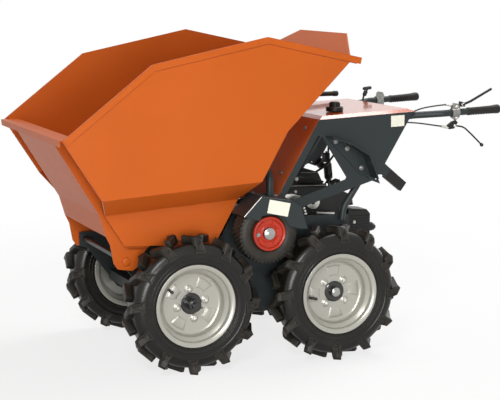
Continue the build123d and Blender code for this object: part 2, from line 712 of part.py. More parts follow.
def gear_levers():
    """The gear lever beside the right handle: a wedge bracket, a stem and a T-shaped knob."""
    bracket = plate([(-512, 806), (-512, 836), (-548, 840), (-556, 832), (-540, 806)], -200, 26)
    stem = tube([(-540, -213, 838), (-546, -213, 868), (-560, -213, 882)], [30], 3.5)
    shank = turned((-545, -213, 858), (-556, -213, 880), [(0, 5), (4, 8), (20, 8)])
    bar = turned((-538, -205, 886), (-580, -221, 888), [(0, 4), (4, 6.5), (40, 6.5), (44, 4)])
    return bracket + stem + shank + bar


# Each cable: its straight-run points, from inside the console out to its ferrule
CABLE_R = 2.6
CABLE_ROUTES = {
    "upper": [
        (-468, 218, 803), (-502, 223, 829), (-540, 244, 848), (-582, 268, 857), (-618, 284, 862),
        (-637, 286, 860),
    ],
    "lower": [
        (-446, 220, 794), (-484, 236, 799), (-526, 258, 796), (-566, 274, 790), (-600, 284, 785),
        (-620, 286, 781),
    ],
}


def cable(points):
    """One control cable with arcs as large as its runs allow, and its end ferrule."""
    radii = []
    for before, here, after in zip(points, points[1:], points[2:]):
        first = Vector(*here) - Vector(*before)
        second = Vector(*after) - Vector(*here)
        turn = math.radians(first.get_angle(second))
        radii.append(round(0.45 * min(first.length, second.length) / math.tan(turn / 2), 1))
    print("cable arc radii", radii)
    return tube(points, radii, CABLE_R)


# position, axle x, side, turn of the studs from +X towards +Z in degrees
WHEELS = [
    ("front_left", FRONT_AXLE_X, 1, -11),
    ("front_right", FRONT_AXLE_X, -1, 24),
    ("rear_left", REAR_AXLE_X, 1, 41),
    ("rear_right", REAR_AXLE_X, -1, 70),
]


def save(name, part):
    """Write one node's solids to its own file."""
    solids = part if isinstance(part, list) else [part]
    bodies = [solid for item in solids for solid in item.solids()]
    shape = bodies[0] if len(bodies) == 1 else Compound(children=bodies)
    export_step(shape, f"parts/{name}.step")


def place_wheel(part, x, z, y, side):
    """Put a wheel piece made at the origin, outer side at +Y, on its axle."""
    placed = Pos(x, y, z) * part
    return placed if side > 0 else mirror(placed, about=Plane.XZ)


def main():
    tyre = main_tyre()
    rim = main_rim()
    hubs = {"front": front_hub(), "rear": rear_hub()}
    for position, x, side, turn in WHEELS:
        turned_rim = Rot(0, -turn, 0) * rim
        save(f"tyre_{position}", place_wheel(tyre, x, AXLE_Z, TRACK_Y, side))
        save(f"rim_{position}", place_wheel(turned_rim, x, AXLE_Z, TRACK_Y, side))
        save(f"hub_{position}", place_wheel(hubs[position.split("_")[0]], x, AXLE_Z, TRACK_Y, side))
    small = {"drive_tyre": drive_tyre(), "drive_rim": drive_rim()}
    for hand, side in (("left", 1), ("right", -1)):
        for kind, part in small.items():
            save(f"{kind}_{hand}", place_wheel(part, DRIVE_X, DRIVE_Z, DRIVE_Y, side))
    pairs = {
        "skip_side": skip_side(),
        "chassis_plate": chassis_plate(),
        "guard": guard(),
        "side_bracket": side_bracket(),
        "handle_tube": handle_tube(),
        "grip": grip(),
    }
    for name, part in pairs.items():
        for hand, piece in zip(("left", "right"), both(part)):
            save(f"{name}_{hand}", piece)
    save("console_side_left", console_side(SIDE_EARS["left"]))
    save("console_side_right", mirror(console_side(SIDE_EARS["right"]), about=Plane.XZ))
    singles = {
        "skip_wrapper": skip_wrapper(),
        "skip_cradle": skip_cradle(),
        "tipping_handle": tipping_handle(),
        "cross_members": cross_members(),
        "front_axle": axle(FRONT_AXLE_X, TRACK_Y + 54),
        "rear_axle": axle(REAR_AXLE_X, TRACK_Y + 8),
        "drive_shaft": drive_shaft(),
        "pivot_shaft": rod_y(PIVOT_X, PIVOT_Z, PIVOT_R, -CRADLE_HALF - 8, CRADLE_HALF + 8),
        "skip_rest": skip_rest(),
        "rest_pads": rest_pads(),
        "console_front_panel": console_front_panel(),
        "console_top": console_top(),
        "filler_cap": filler_cap(),
        "rear_pads": rear_pads(),
        "engine_block": engine_block(),
        "engine_cylinder": engine_cylinder(),
        "engine_bed": engine_bed(),
        "air_filter": air_filter(),
        "transmission_case": transmission_case(),
        "muffler_cover": muffler_cover(),
        "recoil_cover": recoil_cover(),
        "fuel_tank": fuel_tank(),
        "gear_linkage": gear_linkage(),
        "lever_clamps": both(lever_clamp()),
        "brake_levers": brake_levers(),
        "gear_levers": gear_levers(),
        "control_cables": [cable(points) for points in CABLE_ROUTES.values()],
    }
    for name, part in singles.items():
        save(name, part)


main()
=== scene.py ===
"""Looks of the walk-behind site dumper: finishes, fasteners, trim and the studio round its solids."""

import json
import logging
import math
from contextlib import contextmanager
from dataclasses import dataclass
from enum import Enum
from functools import cache
from typing import ClassVar, Iterator, Sequence, Union

import bmesh
import bpy
from mathutils import Euler, Matrix, Vector


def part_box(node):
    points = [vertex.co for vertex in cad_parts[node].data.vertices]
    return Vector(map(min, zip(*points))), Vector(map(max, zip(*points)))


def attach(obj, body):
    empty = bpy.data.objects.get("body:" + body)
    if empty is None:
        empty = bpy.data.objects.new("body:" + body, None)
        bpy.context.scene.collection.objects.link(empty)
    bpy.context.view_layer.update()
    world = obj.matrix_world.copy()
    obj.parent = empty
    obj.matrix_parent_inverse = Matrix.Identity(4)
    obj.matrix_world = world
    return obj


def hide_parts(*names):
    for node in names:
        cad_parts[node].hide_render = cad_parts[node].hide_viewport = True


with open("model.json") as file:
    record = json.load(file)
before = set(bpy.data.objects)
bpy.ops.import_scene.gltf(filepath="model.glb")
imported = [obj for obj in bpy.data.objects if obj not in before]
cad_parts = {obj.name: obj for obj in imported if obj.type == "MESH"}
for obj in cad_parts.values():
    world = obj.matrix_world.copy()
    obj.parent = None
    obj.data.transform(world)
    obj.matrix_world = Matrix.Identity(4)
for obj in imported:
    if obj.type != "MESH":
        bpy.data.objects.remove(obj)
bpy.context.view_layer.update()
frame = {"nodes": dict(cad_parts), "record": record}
log = logging.getLogger("dumper")

Pair = tuple[float, float]
Point = tuple[float, float, float]
Colour = tuple[float, float, float]
Operand = Union["Signal", float]
Tint = Union[Colour, bpy.types.NodeSocket]
CORNERS = ("front_left", "front_right", "rear_left", "rear_right")


# ------------------------------------------------------------------ shader maths

class Signal:
    """A number that varies over a surface. Python's operators on it add Math nodes."""

    def __init__(self, graph: "Graph", socket: bpy.types.NodeSocket) -> None:
        """Wraps an output socket.

        Args:
            graph: the node tree that the socket is in.
            socket: the output that carries the number.
        """
        self.graph = graph
        self.socket = socket

    def __add__(self, other: Operand) -> "Signal":
        """Returns self + other."""
        return self.graph.math("ADD", self, other)

    def __radd__(self, other: Operand) -> "Signal":
        """Returns other + self."""
        return self.graph.math("ADD", other, self)

    def __sub__(self, other: Operand) -> "Signal":
        """Returns self - other."""
        return self.graph.math("SUBTRACT", self, other)

    def __rsub__(self, other: Operand) -> "Signal":
        """Returns other - self."""
        return self.graph.math("SUBTRACT", other, self)

    def __mul__(self, other: Operand) -> "Signal":
        """Returns self * other."""
        return self.graph.math("MULTIPLY", self, other)

    def between(self, low: float, high: float) -> "Signal":
        """The signal as a mask: 0 at low, 1 at high, smooth in between.

        Args:
            low: the value that becomes 0.
            high: the value that becomes 1.

        Returns:
            The mask.
        """
        inputs = {0: self, 1: low, 2: high, 3: 0.0, 4: 1.0}
        node = self.graph.add("ShaderNodeMapRange", inputs, interpolation_type="SMOOTHSTEP")
        return Signal(self.graph, node.outputs[0])


class Graph:
    """The node tree of a material or of the world."""

    def __init__(self, owner: bpy.types.Material | bpy.types.World) -> None:
        """Empties the owner's tree.

        Args:
            owner: the material or the world.
        """
        owner.use_nodes = True
        self.owner = owner
        self.tree = owner.node_tree
        self.tree.nodes.clear()

    def add(self, kind: str, inputs: dict | None = None, **settings: object) -> bpy.types.Node:
        """Adds one node.

        Args:
            kind: the node's type.
            inputs: values or links by the input's name or number.
            **settings: the node's own properties, set first.

        Returns:
            The node.
        """
        node = self.tree.nodes.new(kind)
        for key, value in settings.items():
            setattr(node, key, value)
        for key, value in (inputs or {}).items():
            socket = node.inputs[key]
            source = value.socket if isinstance(value, Signal) else value
            if isinstance(source, bpy.types.NodeSocket):
                self.tree.links.new(source, socket)
            elif isinstance(value, tuple) and len(value) == 3 and len(socket.default_value) == 4:
                socket.default_value = (*value, 1.0)
            else:
                socket.default_value = value
        return node

    def math(self, operation: str, first: Operand, second: Operand) -> Signal:
        """Adds a Math node.

        Args:
            operation: the node's operation.
            first: the first operand.
            second: the second operand.

        Returns:
            Its value.
        """
        node = self.add("ShaderNodeMath", {0: first, 1: second}, operation=operation)
        return Signal(self, node.outputs[0])

    def place(self) -> bpy.types.NodeSocket:
        """The object's own coordinates, in metres."""
        return self.add("ShaderNodeTexCoord").outputs["Object"]

    def noise(self, per_metre: float, detail: float = 3.0, stretch: Point = (1.0, 1.0, 1.0)) -> Signal:
        """Fractal noise on the object's own coordinates.

        Args:
            per_metre: how many features lie on a metre.
            detail: the octaves.
            stretch: how much finer the pattern is along x, y and z.

        Returns:
            A number round 0.5.
        """
        mapping = self.add("ShaderNodeMapping", {"Vector": self.place(), "Scale": stretch})
        inputs = {"Vector": mapping.outputs[0], "Scale": per_metre, "Detail": detail}
        return Signal(self, self.add("ShaderNodeTexNoise", inputs).outputs["Fac"])

    def mix(self, factor: Operand, first: Tint, second: Tint) -> bpy.types.NodeSocket:
        """Mixes two colours.

        Args:
            factor: the share of the second colour.
            first: the first colour.
            second: the second colour.

        Returns:
            The mixed colour's socket.
        """
        return self.add("ShaderNodeMix", {0: factor, 6: first, 7: second}, data_type="RGBA").outputs[2]

    def height(self) -> Signal:
        """The height above the ground, in metres."""
        return Signal(self, self.add("ShaderNodeSeparateXYZ", {0: self.place()}).outputs[2])

    def ray(self, kind: str) -> Signal:
        """A mask of the rays of one kind, by the Light Path node's name for them."""
        return Signal(self, self.add("ShaderNodeLightPath").outputs[kind])

    def relief(self, height: Signal, depth: float, edge_radius: float) -> bpy.types.NodeSocket:
        """The surface normal with rounded edges and a fine relief.

        Args:
            height: the relief, 0 to 1.
            depth: the relief's depth in metres.
            edge_radius: the radius that edges are rounded to, in metres.

        Returns:
            The normal's socket.
        """
        rounded = self.add("ShaderNodeBevel", {"Radius": edge_radius}, samples=6).outputs[0]
        inputs = {"Height": height, "Distance": depth, "Strength": 1.0, "Normal": rounded}
        return self.add("ShaderNodeBump", inputs).outputs[0]

    def surface(self, inputs: dict) -> bpy.types.Material:
        """Closes the tree with a Principled shader.

        Args:
            inputs: the shader's values or links by name.

        Returns:
            The finished material.
        """
        shader = self.add("ShaderNodeBsdfPrincipled", inputs)
        self.add("ShaderNodeOutputMaterial", {"Surface": shader.outputs[0]})
        return self.owner


# ---------------------------------------------------------------------- finishes

DUST: Colour = (0.19, 0.155, 0.115)


@dataclass(frozen=True)
class Paint:
    """Powder coat or enamel on sheet steel, with orange peel, faint clouds and road dust low down."""

    name: str
    colour: Colour
    deep: Colour
    roughness: float = 0.35
    coat: float = 0.0
    specular: float = 0.5
    metallic: float = 0.0
    peel_depth: float = 0.00002
    dust: float = 0.25

    def material(self) -> bpy.types.Material:
        """Builds the material.

        Returns:
            The material.
        """
        graph = Graph(bpy.data.materials.new(self.name))
        clouds = graph.noise(3.5, 4.0).between(0.3, 0.75)
        streaks = graph.noise(9.0, 5.0, (1.0, 1.0, 0.25)).between(0.45, 0.8)
        colour = graph.mix(clouds * 0.55, self.colour, self.deep)
        low = 1.0 - graph.height().between(0.05, 0.55)
        grime = low * graph.noise(22.0, 6.0).between(0.4, 0.75) * self.dust + streaks * 0.02
        rough = self.roughness + (graph.noise(60.0, 4.0) - 0.5) * 0.12 + grime * 0.5
        return graph.surface({
            "Base Color": graph.mix(grime, colour, DUST), "Roughness": rough, "Metallic": self.metallic,
            "Normal": graph.relief(graph.noise(1400.0, 1.0), self.peel_depth, 0.0015),
            "Coat Weight": self.coat, "Coat Roughness": 0.06, "Specular IOR Level": self.specular,
        })


@dataclass(frozen=True)
class Rubber:
    """Moulded rubber with a fine grain and dry dust on it."""

    name: str
    colour: Colour
    dust: float
    roughness: float
    grain_per_metre: float = 900.0
    grain_depth: float = 0.00008

    def material(self) -> bpy.types.Material:
        """Builds the material.

        Returns:
            The material.
        """
        graph = Graph(bpy.data.materials.new(self.name))
        patches = graph.noise(14.0, 6.0).between(0.38, 0.72)
        fine = graph.noise(120.0, 4.0).between(0.35, 0.8)
        dusty = (patches * 0.6 + fine * 0.4) * self.dust
        return graph.surface({
            "Base Color": graph.mix(dusty, self.colour, DUST), "Roughness": self.roughness + dusty * 0.15,
            "Normal": graph.relief(graph.noise(self.grain_per_metre, 2.0), self.grain_depth, 0.001),
            "Specular IOR Level": 0.32,
        })


@dataclass(frozen=True)
class Metal:
    """Bare or plated metal with fine brushing and duller patches."""

    name: str
    colour: Colour
    dull: Colour
    roughness: float

    def material(self) -> bpy.types.Material:
        """Builds the material.

        Returns:
            The material.
        """
        graph = Graph(bpy.data.materials.new(self.name))
        patches = graph.noise(70.0, 5.0).between(0.35, 0.75)
        return graph.surface({
            "Base Color": graph.mix(patches, self.colour, self.dull), "Metallic": 1.0,
            "Roughness": self.roughness + patches * 0.18,
            "Normal": graph.relief(graph.noise(2200.0, 2.0), 0.00002, 0.0006),
        })


class Finish(Enum):
    """The machine's finishes."""

    ORANGE = Paint("orange powder coat", (0.505, 0.0985, 0.011), (0.452, 0.085, 0.009), 0.40,
                   specular=0.15, dust=0.01)
    GLOSS_ORANGE = Paint("polished orange coat", (0.52, 0.088, 0.006), (0.47, 0.075, 0.006), 0.2, 0.55,
                         dust=0.0)
    ANTHRACITE = Paint("anthracite powder coat", (0.019, 0.025, 0.026), (0.016, 0.021, 0.022), 0.42,
                       specular=0.3, dust=0.08)
    BLACK = Paint("black enamel", (0.006, 0.006, 0.006), (0.009, 0.008, 0.007), 0.36, specular=0.35, dust=0.07)
    GLOSS_BLACK = Paint("black hub enamel", (0.006, 0.006, 0.006), (0.009, 0.008, 0.007), 0.18, 0.5, dust=0.0)
    SILVER = Paint("silver wheel enamel", (0.41, 0.40, 0.352), (0.39, 0.38, 0.332), 0.30, 0.15,
                   metallic=0.45, peel_depth=0.000003, dust=0.02)
    RED = Paint("red wheel enamel", (0.44, 0.030, 0.010), (0.37, 0.022, 0.008), 0.3, 0.12,
                specular=0.3, dust=0.03)
    PLATE = Paint("pale printed plate", (0.80, 0.78, 0.66), (0.76, 0.73, 0.62), 0.4, dust=0.0)
    # A dark orange-brown for the line under the skip's folded rim: painted shade.
    PAINTED_SHADOW_LINE = Paint("painted shadow line", (0.30, 0.048, 0.006), (0.24, 0.038, 0.005), 0.5, dust=0.2)
    # A bright, partly metallic colour for the rods along the guards' folded edges: a painted highlight.
    PAINTED_EDGE_HIGHLIGHT = Paint("painted edge highlight", (0.70, 0.70, 0.66), (0.50, 0.50, 0.47), 0.3,
                      metallic=0.6, dust=0.0)
    CARCASS = Rubber("glossy tyre wall", (0.0064, 0.0054, 0.0039), 0.04, 0.27)
    TREAD = Rubber("tyre tread", (0.0100, 0.0083, 0.0058), 0.12, 0.48)
    RUBBER = Rubber("black rubber", (0.0062, 0.0058, 0.0050), 0.02, 0.5, 1500.0, 0.00004)
    ZINC = Metal("zinc plate", (0.72, 0.71, 0.66), (0.50, 0.49, 0.45), 0.28)
    DULL_ZINC = Metal("dull zinc plate", (0.30, 0.295, 0.28), (0.20, 0.196, 0.185), 0.38)
    CHROME = Metal("polished cap", (0.40, 0.395, 0.38), (0.34, 0.336, 0.32), 0.14)


# The finish of each material slot in the record.
SLOT_FINISH = {
    "orange_paint": Finish.ORANGE,
    "grey_paint": Finish.ANTHRACITE,
    "black_paint": Finish.BLACK,
    "silver_paint": Finish.SILVER,
    "red_paint": Finish.RED,
    "tyre_rubber": Finish.TREAD,
    "black_rubber": Finish.RUBBER,
    "bright_steel": Finish.ZINC,
    "black_plastic": Finish.BLACK,
}
# CAD nodes whose finish is not their slot's.
SPECIAL_FINISH = {
    "console_top": Finish.GLOSS_ORANGE,
    "front_axle": Finish.GLOSS_BLACK,
    "lever_clamps": Finish.DULL_ZINC,
    "pivot_shaft": Finish.BLACK,
    **{f"hub_{corner}": Finish.GLOSS_BLACK for corner in CORNERS},
}


@cache
def finish_material(finish: Finish) -> bpy.types.Material:
    """The finish's material, built on first use."""
    return finish.value.material()


def dress_solids() -> None:
    """Gives every CAD node the finish of its material slot, or its own where it has one."""
    for part in frame["record"]["subparts"]:
        finish = SPECIAL_FINISH.get(part["node"], SLOT_FINISH[part["material_slot"]])
        for slot in frame["nodes"][part["node"]].material_slots:
            slot.material = finish_material(finish)


# ------------------------------------------------------------------------- forms

MM = 0.001
SHARP_ANGLE = math.radians(38.0)


class Form:
    """One mesh in the making, shaped by bmesh operators. Sizes are in millimetres until it is finished."""

    def __init__(self) -> None:
        """Starts an empty mesh."""
        self.mesh = bmesh.new()

    def made_since(self, old: set) -> list[bmesh.types.BMVert]:
        """The vertices that have been added since the set of the old ones was taken."""
        return [vert for vert in self.mesh.verts if vert not in old]

    def outer_face(self, old: set) -> bmesh.types.BMFace:
        """The face furthest along Y among the new ones.

        Args:
            old: the vertices that were there before.

        Returns:
            The face.
        """
        fresh = (face for face in self.mesh.faces if face.verts[0] not in old)
        return max(fresh, key=lambda face: face.calc_center_median().y)

    def place(self, matrix: Matrix, verts: Sequence[bmesh.types.BMVert] | None = None) -> None:
        """Moves some vertices, or the whole mesh.

        Args:
            matrix: the move.
            verts: the vertices, where it isn't all of them.
        """
        chosen = self.mesh.verts if verts is None else verts
        bmesh.ops.transform(self.mesh, matrix=matrix, verts=list(chosen))

    @contextmanager
    def placed(self, matrix: Matrix) -> Iterator[None]:
        """Moves what its with block adds.

        Args:
            matrix: the move.

        Yields:
            Nothing, for the block to run.
        """
        old = set(self.mesh.verts)
        yield
        self.place(matrix, self.made_since(old))

    def both_sides(self) -> Iterator[None]:
        """Runs a loop's body for the left side and again, mirrored, for the right.

        Yields:
            Nothing, once a side.
        """
        for side in (1, -1):
            with self.placed(mirrored(side)):
                yield

    def array(self, old: set, matrices: Sequence[Matrix]) -> None:
        """Puts copies of the newest shape in its place.

        Args:
            old: the vertices that were there before the shape.
            matrices: where each copy goes.
        """
        shape = self.made_since(old)
        edges = dict.fromkeys(edge for vert in shape for edge in vert.link_edges)
        faces = dict.fromkeys(face for vert in shape for face in vert.link_faces)
        for matrix in matrices:
            copied = bmesh.ops.duplicate(self.mesh, geom=[*shape, *edges, *faces])["geom"]
            self.place(matrix, [item for item in copied if isinstance(item, bmesh.types.BMVert)])
        bmesh.ops.delete(self.mesh, geom=shape, context="VERTS")

    def extrude(self, face: bmesh.types.BMFace) -> bmesh.types.BMFace:
        """Grows walls from a face and returns the new end face, which still lies on the old one."""
        grown = bmesh.ops.extrude_face_region(self.mesh, geom=[face])["geom"]
        return next(item for item in grown if isinstance(item, bmesh.types.BMFace))

    def inset(self, face: bmesh.types.BMFace, steps: Sequence[Pair]) -> None:
        """Insets a face in steps.

        Args:
            face: the face.
            steps: the width and the rise of each step.
        """
        for width, rise in steps:
            bmesh.ops.inset_individual(
                self.mesh, faces=[face], thickness=width, depth=rise, use_even_offset=True
            )

    def round_edges(self, verts: Sequence[bmesh.types.BMVert], radius: float, segments: int = 2) -> None:
        """Rounds the sharp edges among some vertices.

        Args:
            verts: the vertices.
            radius: the radius.
            segments: the facets of each rounded edge.
        """
        chosen = set(verts)
        edges = dict.fromkeys(e for vert in verts for e in vert.link_edges if e.other_vert(vert) in chosen)
        sharp = [edge for edge in edges if len(edge.link_faces) == 2 and edge.calc_face_angle(0.0) > 0.5]
        bmesh.ops.bevel(
            self.mesh, geom=sharp, offset=radius, affect="EDGES", segments=segments, profile=0.5, material=-1
        )

    def lathe(
        self, profile: Sequence[Pair], steps: int, matrix: Matrix = Matrix(), ring: bool = False
    ) -> None:
        """Spins a profile about the Y axis.

        Args:
            profile: (distance along Y, radius) pairs.
            steps: how many facets go round.
            matrix: where the turned shape goes.
            ring: whether the profile closes on itself, as a tyre's does.
        """
        old = set(self.mesh.verts)
        start = [self.mesh.verts.new((radius, along, 0.0)) for along, radius in profile]
        edges = [self.mesh.edges.new(pair) for pair in zip(start, start[1:])]
        if ring:
            edges.append(self.mesh.edges.new((start[-1], start[0])))
        bmesh.ops.spin(
            self.mesh, geom=start + edges, cent=(0, 0, 0), axis=(0, 1, 0), steps=steps, angle=math.tau,
            use_merge=True,
        )
        bmesh.ops.remove_doubles(self.mesh, verts=self.made_since(old), dist=0.001)
        self.place(matrix, self.made_since(old))

    def block(self, size: Point, matrix: Matrix, bevel: float = 0.0, segments: int = 2) -> None:
        """A box with rounded edges.

        Args:
            size: its sides.
            matrix: where its centre goes.
            bevel: the edges' radius.
            segments: the facets of each rounded edge.
        """
        old = set(self.mesh.verts)
        bmesh.ops.create_cube(self.mesh, size=1.0, matrix=Matrix.Diagonal((*size, 1.0)))
        if bevel > 0:
            self.round_edges(self.made_since(old), bevel, segments)
        self.place(matrix, self.made_since(old))

    def prism(self, outline: Sequence[Pair], low: float, high: float, bevel: float = 0.0) -> None:
        """A plate cut to an (x, z) outline between two places along Y.

        Args:
            outline: the corners in order.
            low: the lower y.
            high: the upper y.
            bevel: the edges' radius.
        """
        old = set(self.mesh.verts)
        top = self.extrude(self.mesh.faces.new([self.mesh.verts.new((x, low, z)) for x, z in outline]))
        bmesh.ops.translate(self.mesh, vec=(0.0, high - low, 0.0), verts=list(top.verts))
        faces = dict.fromkeys(face for vert in self.made_since(old) for face in vert.link_faces)
        bmesh.ops.recalc_face_normals(self.mesh, faces=list(faces))
        if bevel > 0:
            self.round_edges(self.made_since(old), bevel)

    def hexagon(self, radius: float, height: float, matrix: Matrix) -> None:
        """A bolt head: a six-sided prism along Y with its top corners cut.

        Args:
            radius: its radius over the corners.
            height: its height.
            matrix: where its foot goes.
        """
        with self.placed(matrix):
            circle = bmesh.ops.create_circle(
                self.mesh, cap_ends=True, segments=6, radius=radius, matrix=turned("X", -90.0)
            )
            end = circle["verts"][0].link_faces[0]
            for share, step in ((1.0, 0.85 * height), (0.86, 0.15 * height)):
                end = self.extrude(end)
                self.place(at(0.0, step, 0.0) @ Matrix.Diagonal((share, 1.0, share, 1.0)), end.verts)

    def rod(self, points: Sequence[Point], radius: float, sides: int) -> None:
        """A round bar through some points.

        Args:
            points: the places it passes.
            radius: its radius.
            sides: the facets round it.
        """
        path = [Vector(point) for point in points]
        aims = [(b - a).normalized() for a, b in zip(path, path[1:])]
        turns = [aims[0]] + [(a + b).normalized() for a, b in zip(aims, aims[1:])] + [aims[-1]]
        frames = [facing(point, aim, "Z", "Y") for point, aim in zip(path, turns)]
        circle = bmesh.ops.create_circle(
            self.mesh, cap_ends=True, segments=sides, radius=radius, matrix=frames[0]
        )
        end = circle["verts"][0].link_faces[0]
        for before, after in zip(frames, frames[1:]):
            end = self.extrude(end)
            self.place(after @ before.inverted(), end.verts)

    def dome(self, radius: float, height: float, matrix: Matrix) -> None:
        """A low dome along Y, flat at its foot.

        Args:
            radius: the foot's radius.
            height: the dome's height.
            matrix: where its foot goes.
        """
        angles = [math.radians(18.0 * i) for i in range(5)]
        curve = [(height * math.sin(a), radius * math.cos(a)) for a in angles]
        self.lathe([(0.0, 0.0), *curve, (height, 0.0)], 24, matrix)

    def bolt(self, matrix: Matrix, head: float, washer: float, height: float) -> None:
        """A hexagon bolt on its washer, pointing along Y.

        Args:
            matrix: where the washer's foot goes.
            head: the head's radius over its corners.
            washer: the washer's radius.
            height: the head's height.
        """
        self.lathe([(0.0, 0.0), (0.0, washer), (1.2, washer), (1.6, washer - 0.5), (1.6, 0.0)], 24, matrix)
        self.hexagon(head, height, matrix @ at(0.0, 1.5, 0.0))

    def finish(self, name: str, finish: Finish, body: str, replaces: Sequence[str] = ()) -> bpy.types.Object:
        """Turns the mesh into a piece of the machine.

        Args:
            name: the piece's name.
            finish: its finish.
            body: the CAD body that it rides on.
            replaces: the CAD nodes that it stands for.

        Returns:
            The piece.
        """
        self.place(Matrix.Scale(MM, 4))
        bmesh.ops.remove_doubles(self.mesh, verts=self.mesh.verts, dist=0.000002)
        bmesh.ops.recalc_face_normals(self.mesh, faces=self.mesh.faces)
        for face in self.mesh.faces:
            face.smooth = True
        for edge in self.mesh.edges:
            edge.smooth = edge.calc_face_angle(0.0) < SHARP_ANGLE
        data = bpy.data.meshes.new(name)
        self.mesh.to_mesh(data)
        self.mesh.free()
        data.materials.append(finish_material(finish))
        piece = bpy.data.objects.new(name, data)
        bpy.context.scene.collection.objects.link(piece)
        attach(piece, body)
        if replaces:
            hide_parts(*replaces)
        log.info("%s: %d faces on %s", name, len(data.polygons), body)
        return piece


def at(x: float, y: float, z: float) -> Matrix:
    """A matrix that moves to a place in millimetres."""
    return Matrix.Translation((x, y, z))


def turned(axis: str, degrees: float) -> Matrix:
    """A right-handed turn about one axis."""
    return Matrix.Rotation(math.radians(degrees), 4, axis)


def mirrored(side: int) -> Matrix:
    """The unchanged matrix for side 1, or the mirror image across the machine for side -1."""
    return Matrix.Diagonal((1.0, float(side), 1.0, 1.0))


def facing(place: Vector, aim: Vector, axis: str, up: str) -> Matrix:
    """A matrix that moves to a place and turns one axis along an aim, with another kept upward."""
    return Matrix.Translation(place) @ aim.to_track_quat(axis, up).to_matrix().to_4x4()


def on_circle(radius: float, degrees: float) -> Pair:
    """The (x, z) of a point on a circle about Y, from +X towards +Z."""
    return radius * math.cos(math.radians(degrees)), radius * math.sin(math.radians(degrees))


def both_halves(profile: Sequence[Pair]) -> list[Pair]:
    """A profile and its mirror image, joined to run from one bead of a tyre to the other."""
    return [*profile, *((-along, radius) for along, radius in reversed(profile))]


def centre_of(node: str) -> Vector:
    """The middle of a CAD node's box, in millimetres."""
    low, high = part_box(node)
    return (Vector(low) + Vector(high)) / 2 / MM


# ------------------------------------------------------------------------ wheels

@dataclass
class MainTyre:
    """A chevron-lug tyre: a glossy carcass, two staggered rows of lugs and forked legs on the sidewalls."""

    lug_count: int = 12
    lug_yaw: float = 38.0
    lug_thick: float = 22.0
    lug_inner: float = -35.0
    lug_outer: float = 35.0
    lug_middle_y: float = 21.5
    foot_r: float = 200.0
    top_r: float = 232.4
    first_lug: float = 1.6
    leg_x: float = -18.5
    shoulder_y: float = 55.7
    profile: tuple[Pair, ...] = (
        (45.3, 127.6), (45.3, 140.6), (47.4, 141.8), (47.6, 144.6), (49.0, 145.8), (49.2, 148.4),
        (48.2, 149.8), (49.4, 154.0), (50.0, 158.5), (51.0, 159.3), (51.0, 161.3), (50.3, 162.0),
        (50.9, 168.0), (51.1, 173.0), (52.6, 174.6), (53.4, 177.6), (53.2, 182.0), (52.2, 187.0),
        (50.4, 192.5), (47.8, 198.0), (44.2, 203.0), (39.5, 207.2), (33.0, 210.4), (25.0, 211.8),
        (10.0, 212.0),
    )
    leg_outline: tuple[Pair, ...] = (
        (-8.0, 224.0), (10.0, 224.0), (13.5, 200.0), (20.0, 180.0), (18.0, 177.0), (-18.0, 177.0),
        (-20.0, 180.0), (-12.5, 200.0),
    )

    def lug(self, form: Form) -> None:
        """Makes the lug at the top of the tyre and its leg.

        Args:
            form: the empty mesh that they go in.
        """
        half = self.lug_thick / 2
        foot = self.foot_r
        top = self.top_r
        corners = [(-half, foot), (half, foot), (half - 1.6, top), (-half + 1.6, top)]
        face = form.mesh.faces.new([form.mesh.verts.new((x, self.lug_inner, z)) for x, z in corners])
        stations = (
            (-31.0, foot, top, 0.0), (4.0, foot, top, 0.0), (26.0, foot, top, 8.0),
            (self.lug_outer, foot - 12.0, top - 7.0, 13.0),
        )
        for along, low, high, wider in stations:
            face = form.extrude(face)
            for vert in face.verts:
                x = half + wider if vert.co.x > 0 else vert.co.x
                vert.co = Vector((x, along, high if vert.co.z > (foot + top) / 2 else low))
        form.place(at(0.0, self.lug_middle_y, 0.0) @ turned("Z", self.lug_yaw))
        for vert in form.mesh.verts:
            vert.co.y = min(vert.co.y, self.shoulder_y)
        form.round_edges(form.mesh.verts, 2.0)
        self.leg(form)

    def leg(self, form: Form) -> None:
        """Makes the forked leg: a wedge that widens down the sidewall, with a hollow between its two fins.

        Args:
            form: the mesh that it joins.
        """
        old = set(form.mesh.verts)
        form.prism([(self.leg_x + x, z) for x, z in self.leg_outline], 36.0, self.shoulder_y)
        outer = form.outer_face(old)
        for vert in outer.verts:
            rise = vert.co.z - self.foot_r
            vert.co.y -= 0.30 * max(0.0, rise) + 0.02 * abs(rise)
        form.inset(outer, ((5.0, 0.0), (1.4, -4.2)))
        form.round_edges(form.made_since(old), 0.8, 1)

    def build(self, corner: str, side: int, turn: float) -> list[bpy.types.Object]:
        """Makes one tyre.

        Args:
            corner: the wheel's name, such as front_left.
            side: 1 on the left, -1 on the right.
            turn: how far the wheel is rolled on from its drawing, in degrees.

        Returns:
            The carcass, which stands for the solid tyre, and its lugs.
        """
        place = Matrix.Translation(centre_of(f"tyre_{corner}")) @ mirrored(side)
        carcass = Form()
        carcass.lathe(both_halves(self.profile), 128, place, ring=True)
        lugs = Form()
        self.lug(lugs)
        pitch = 360.0 / self.lug_count
        lugs.array(set(), [
            turned("Y", self.first_lug + turn + (i + shift) * pitch) @ mirrored(row)
            for row, shift in ((1, 0.0), (-1, 0.5)) for i in range(self.lug_count)
        ])
        lugs.place(place)
        return [
            carcass.finish(f"carcass_{corner}", Finish.CARCASS, f"wheel_{corner}", [f"tyre_{corner}"]),
            lugs.finish(f"lugs_{corner}", Finish.TREAD, f"wheel_{corner}"),
        ]


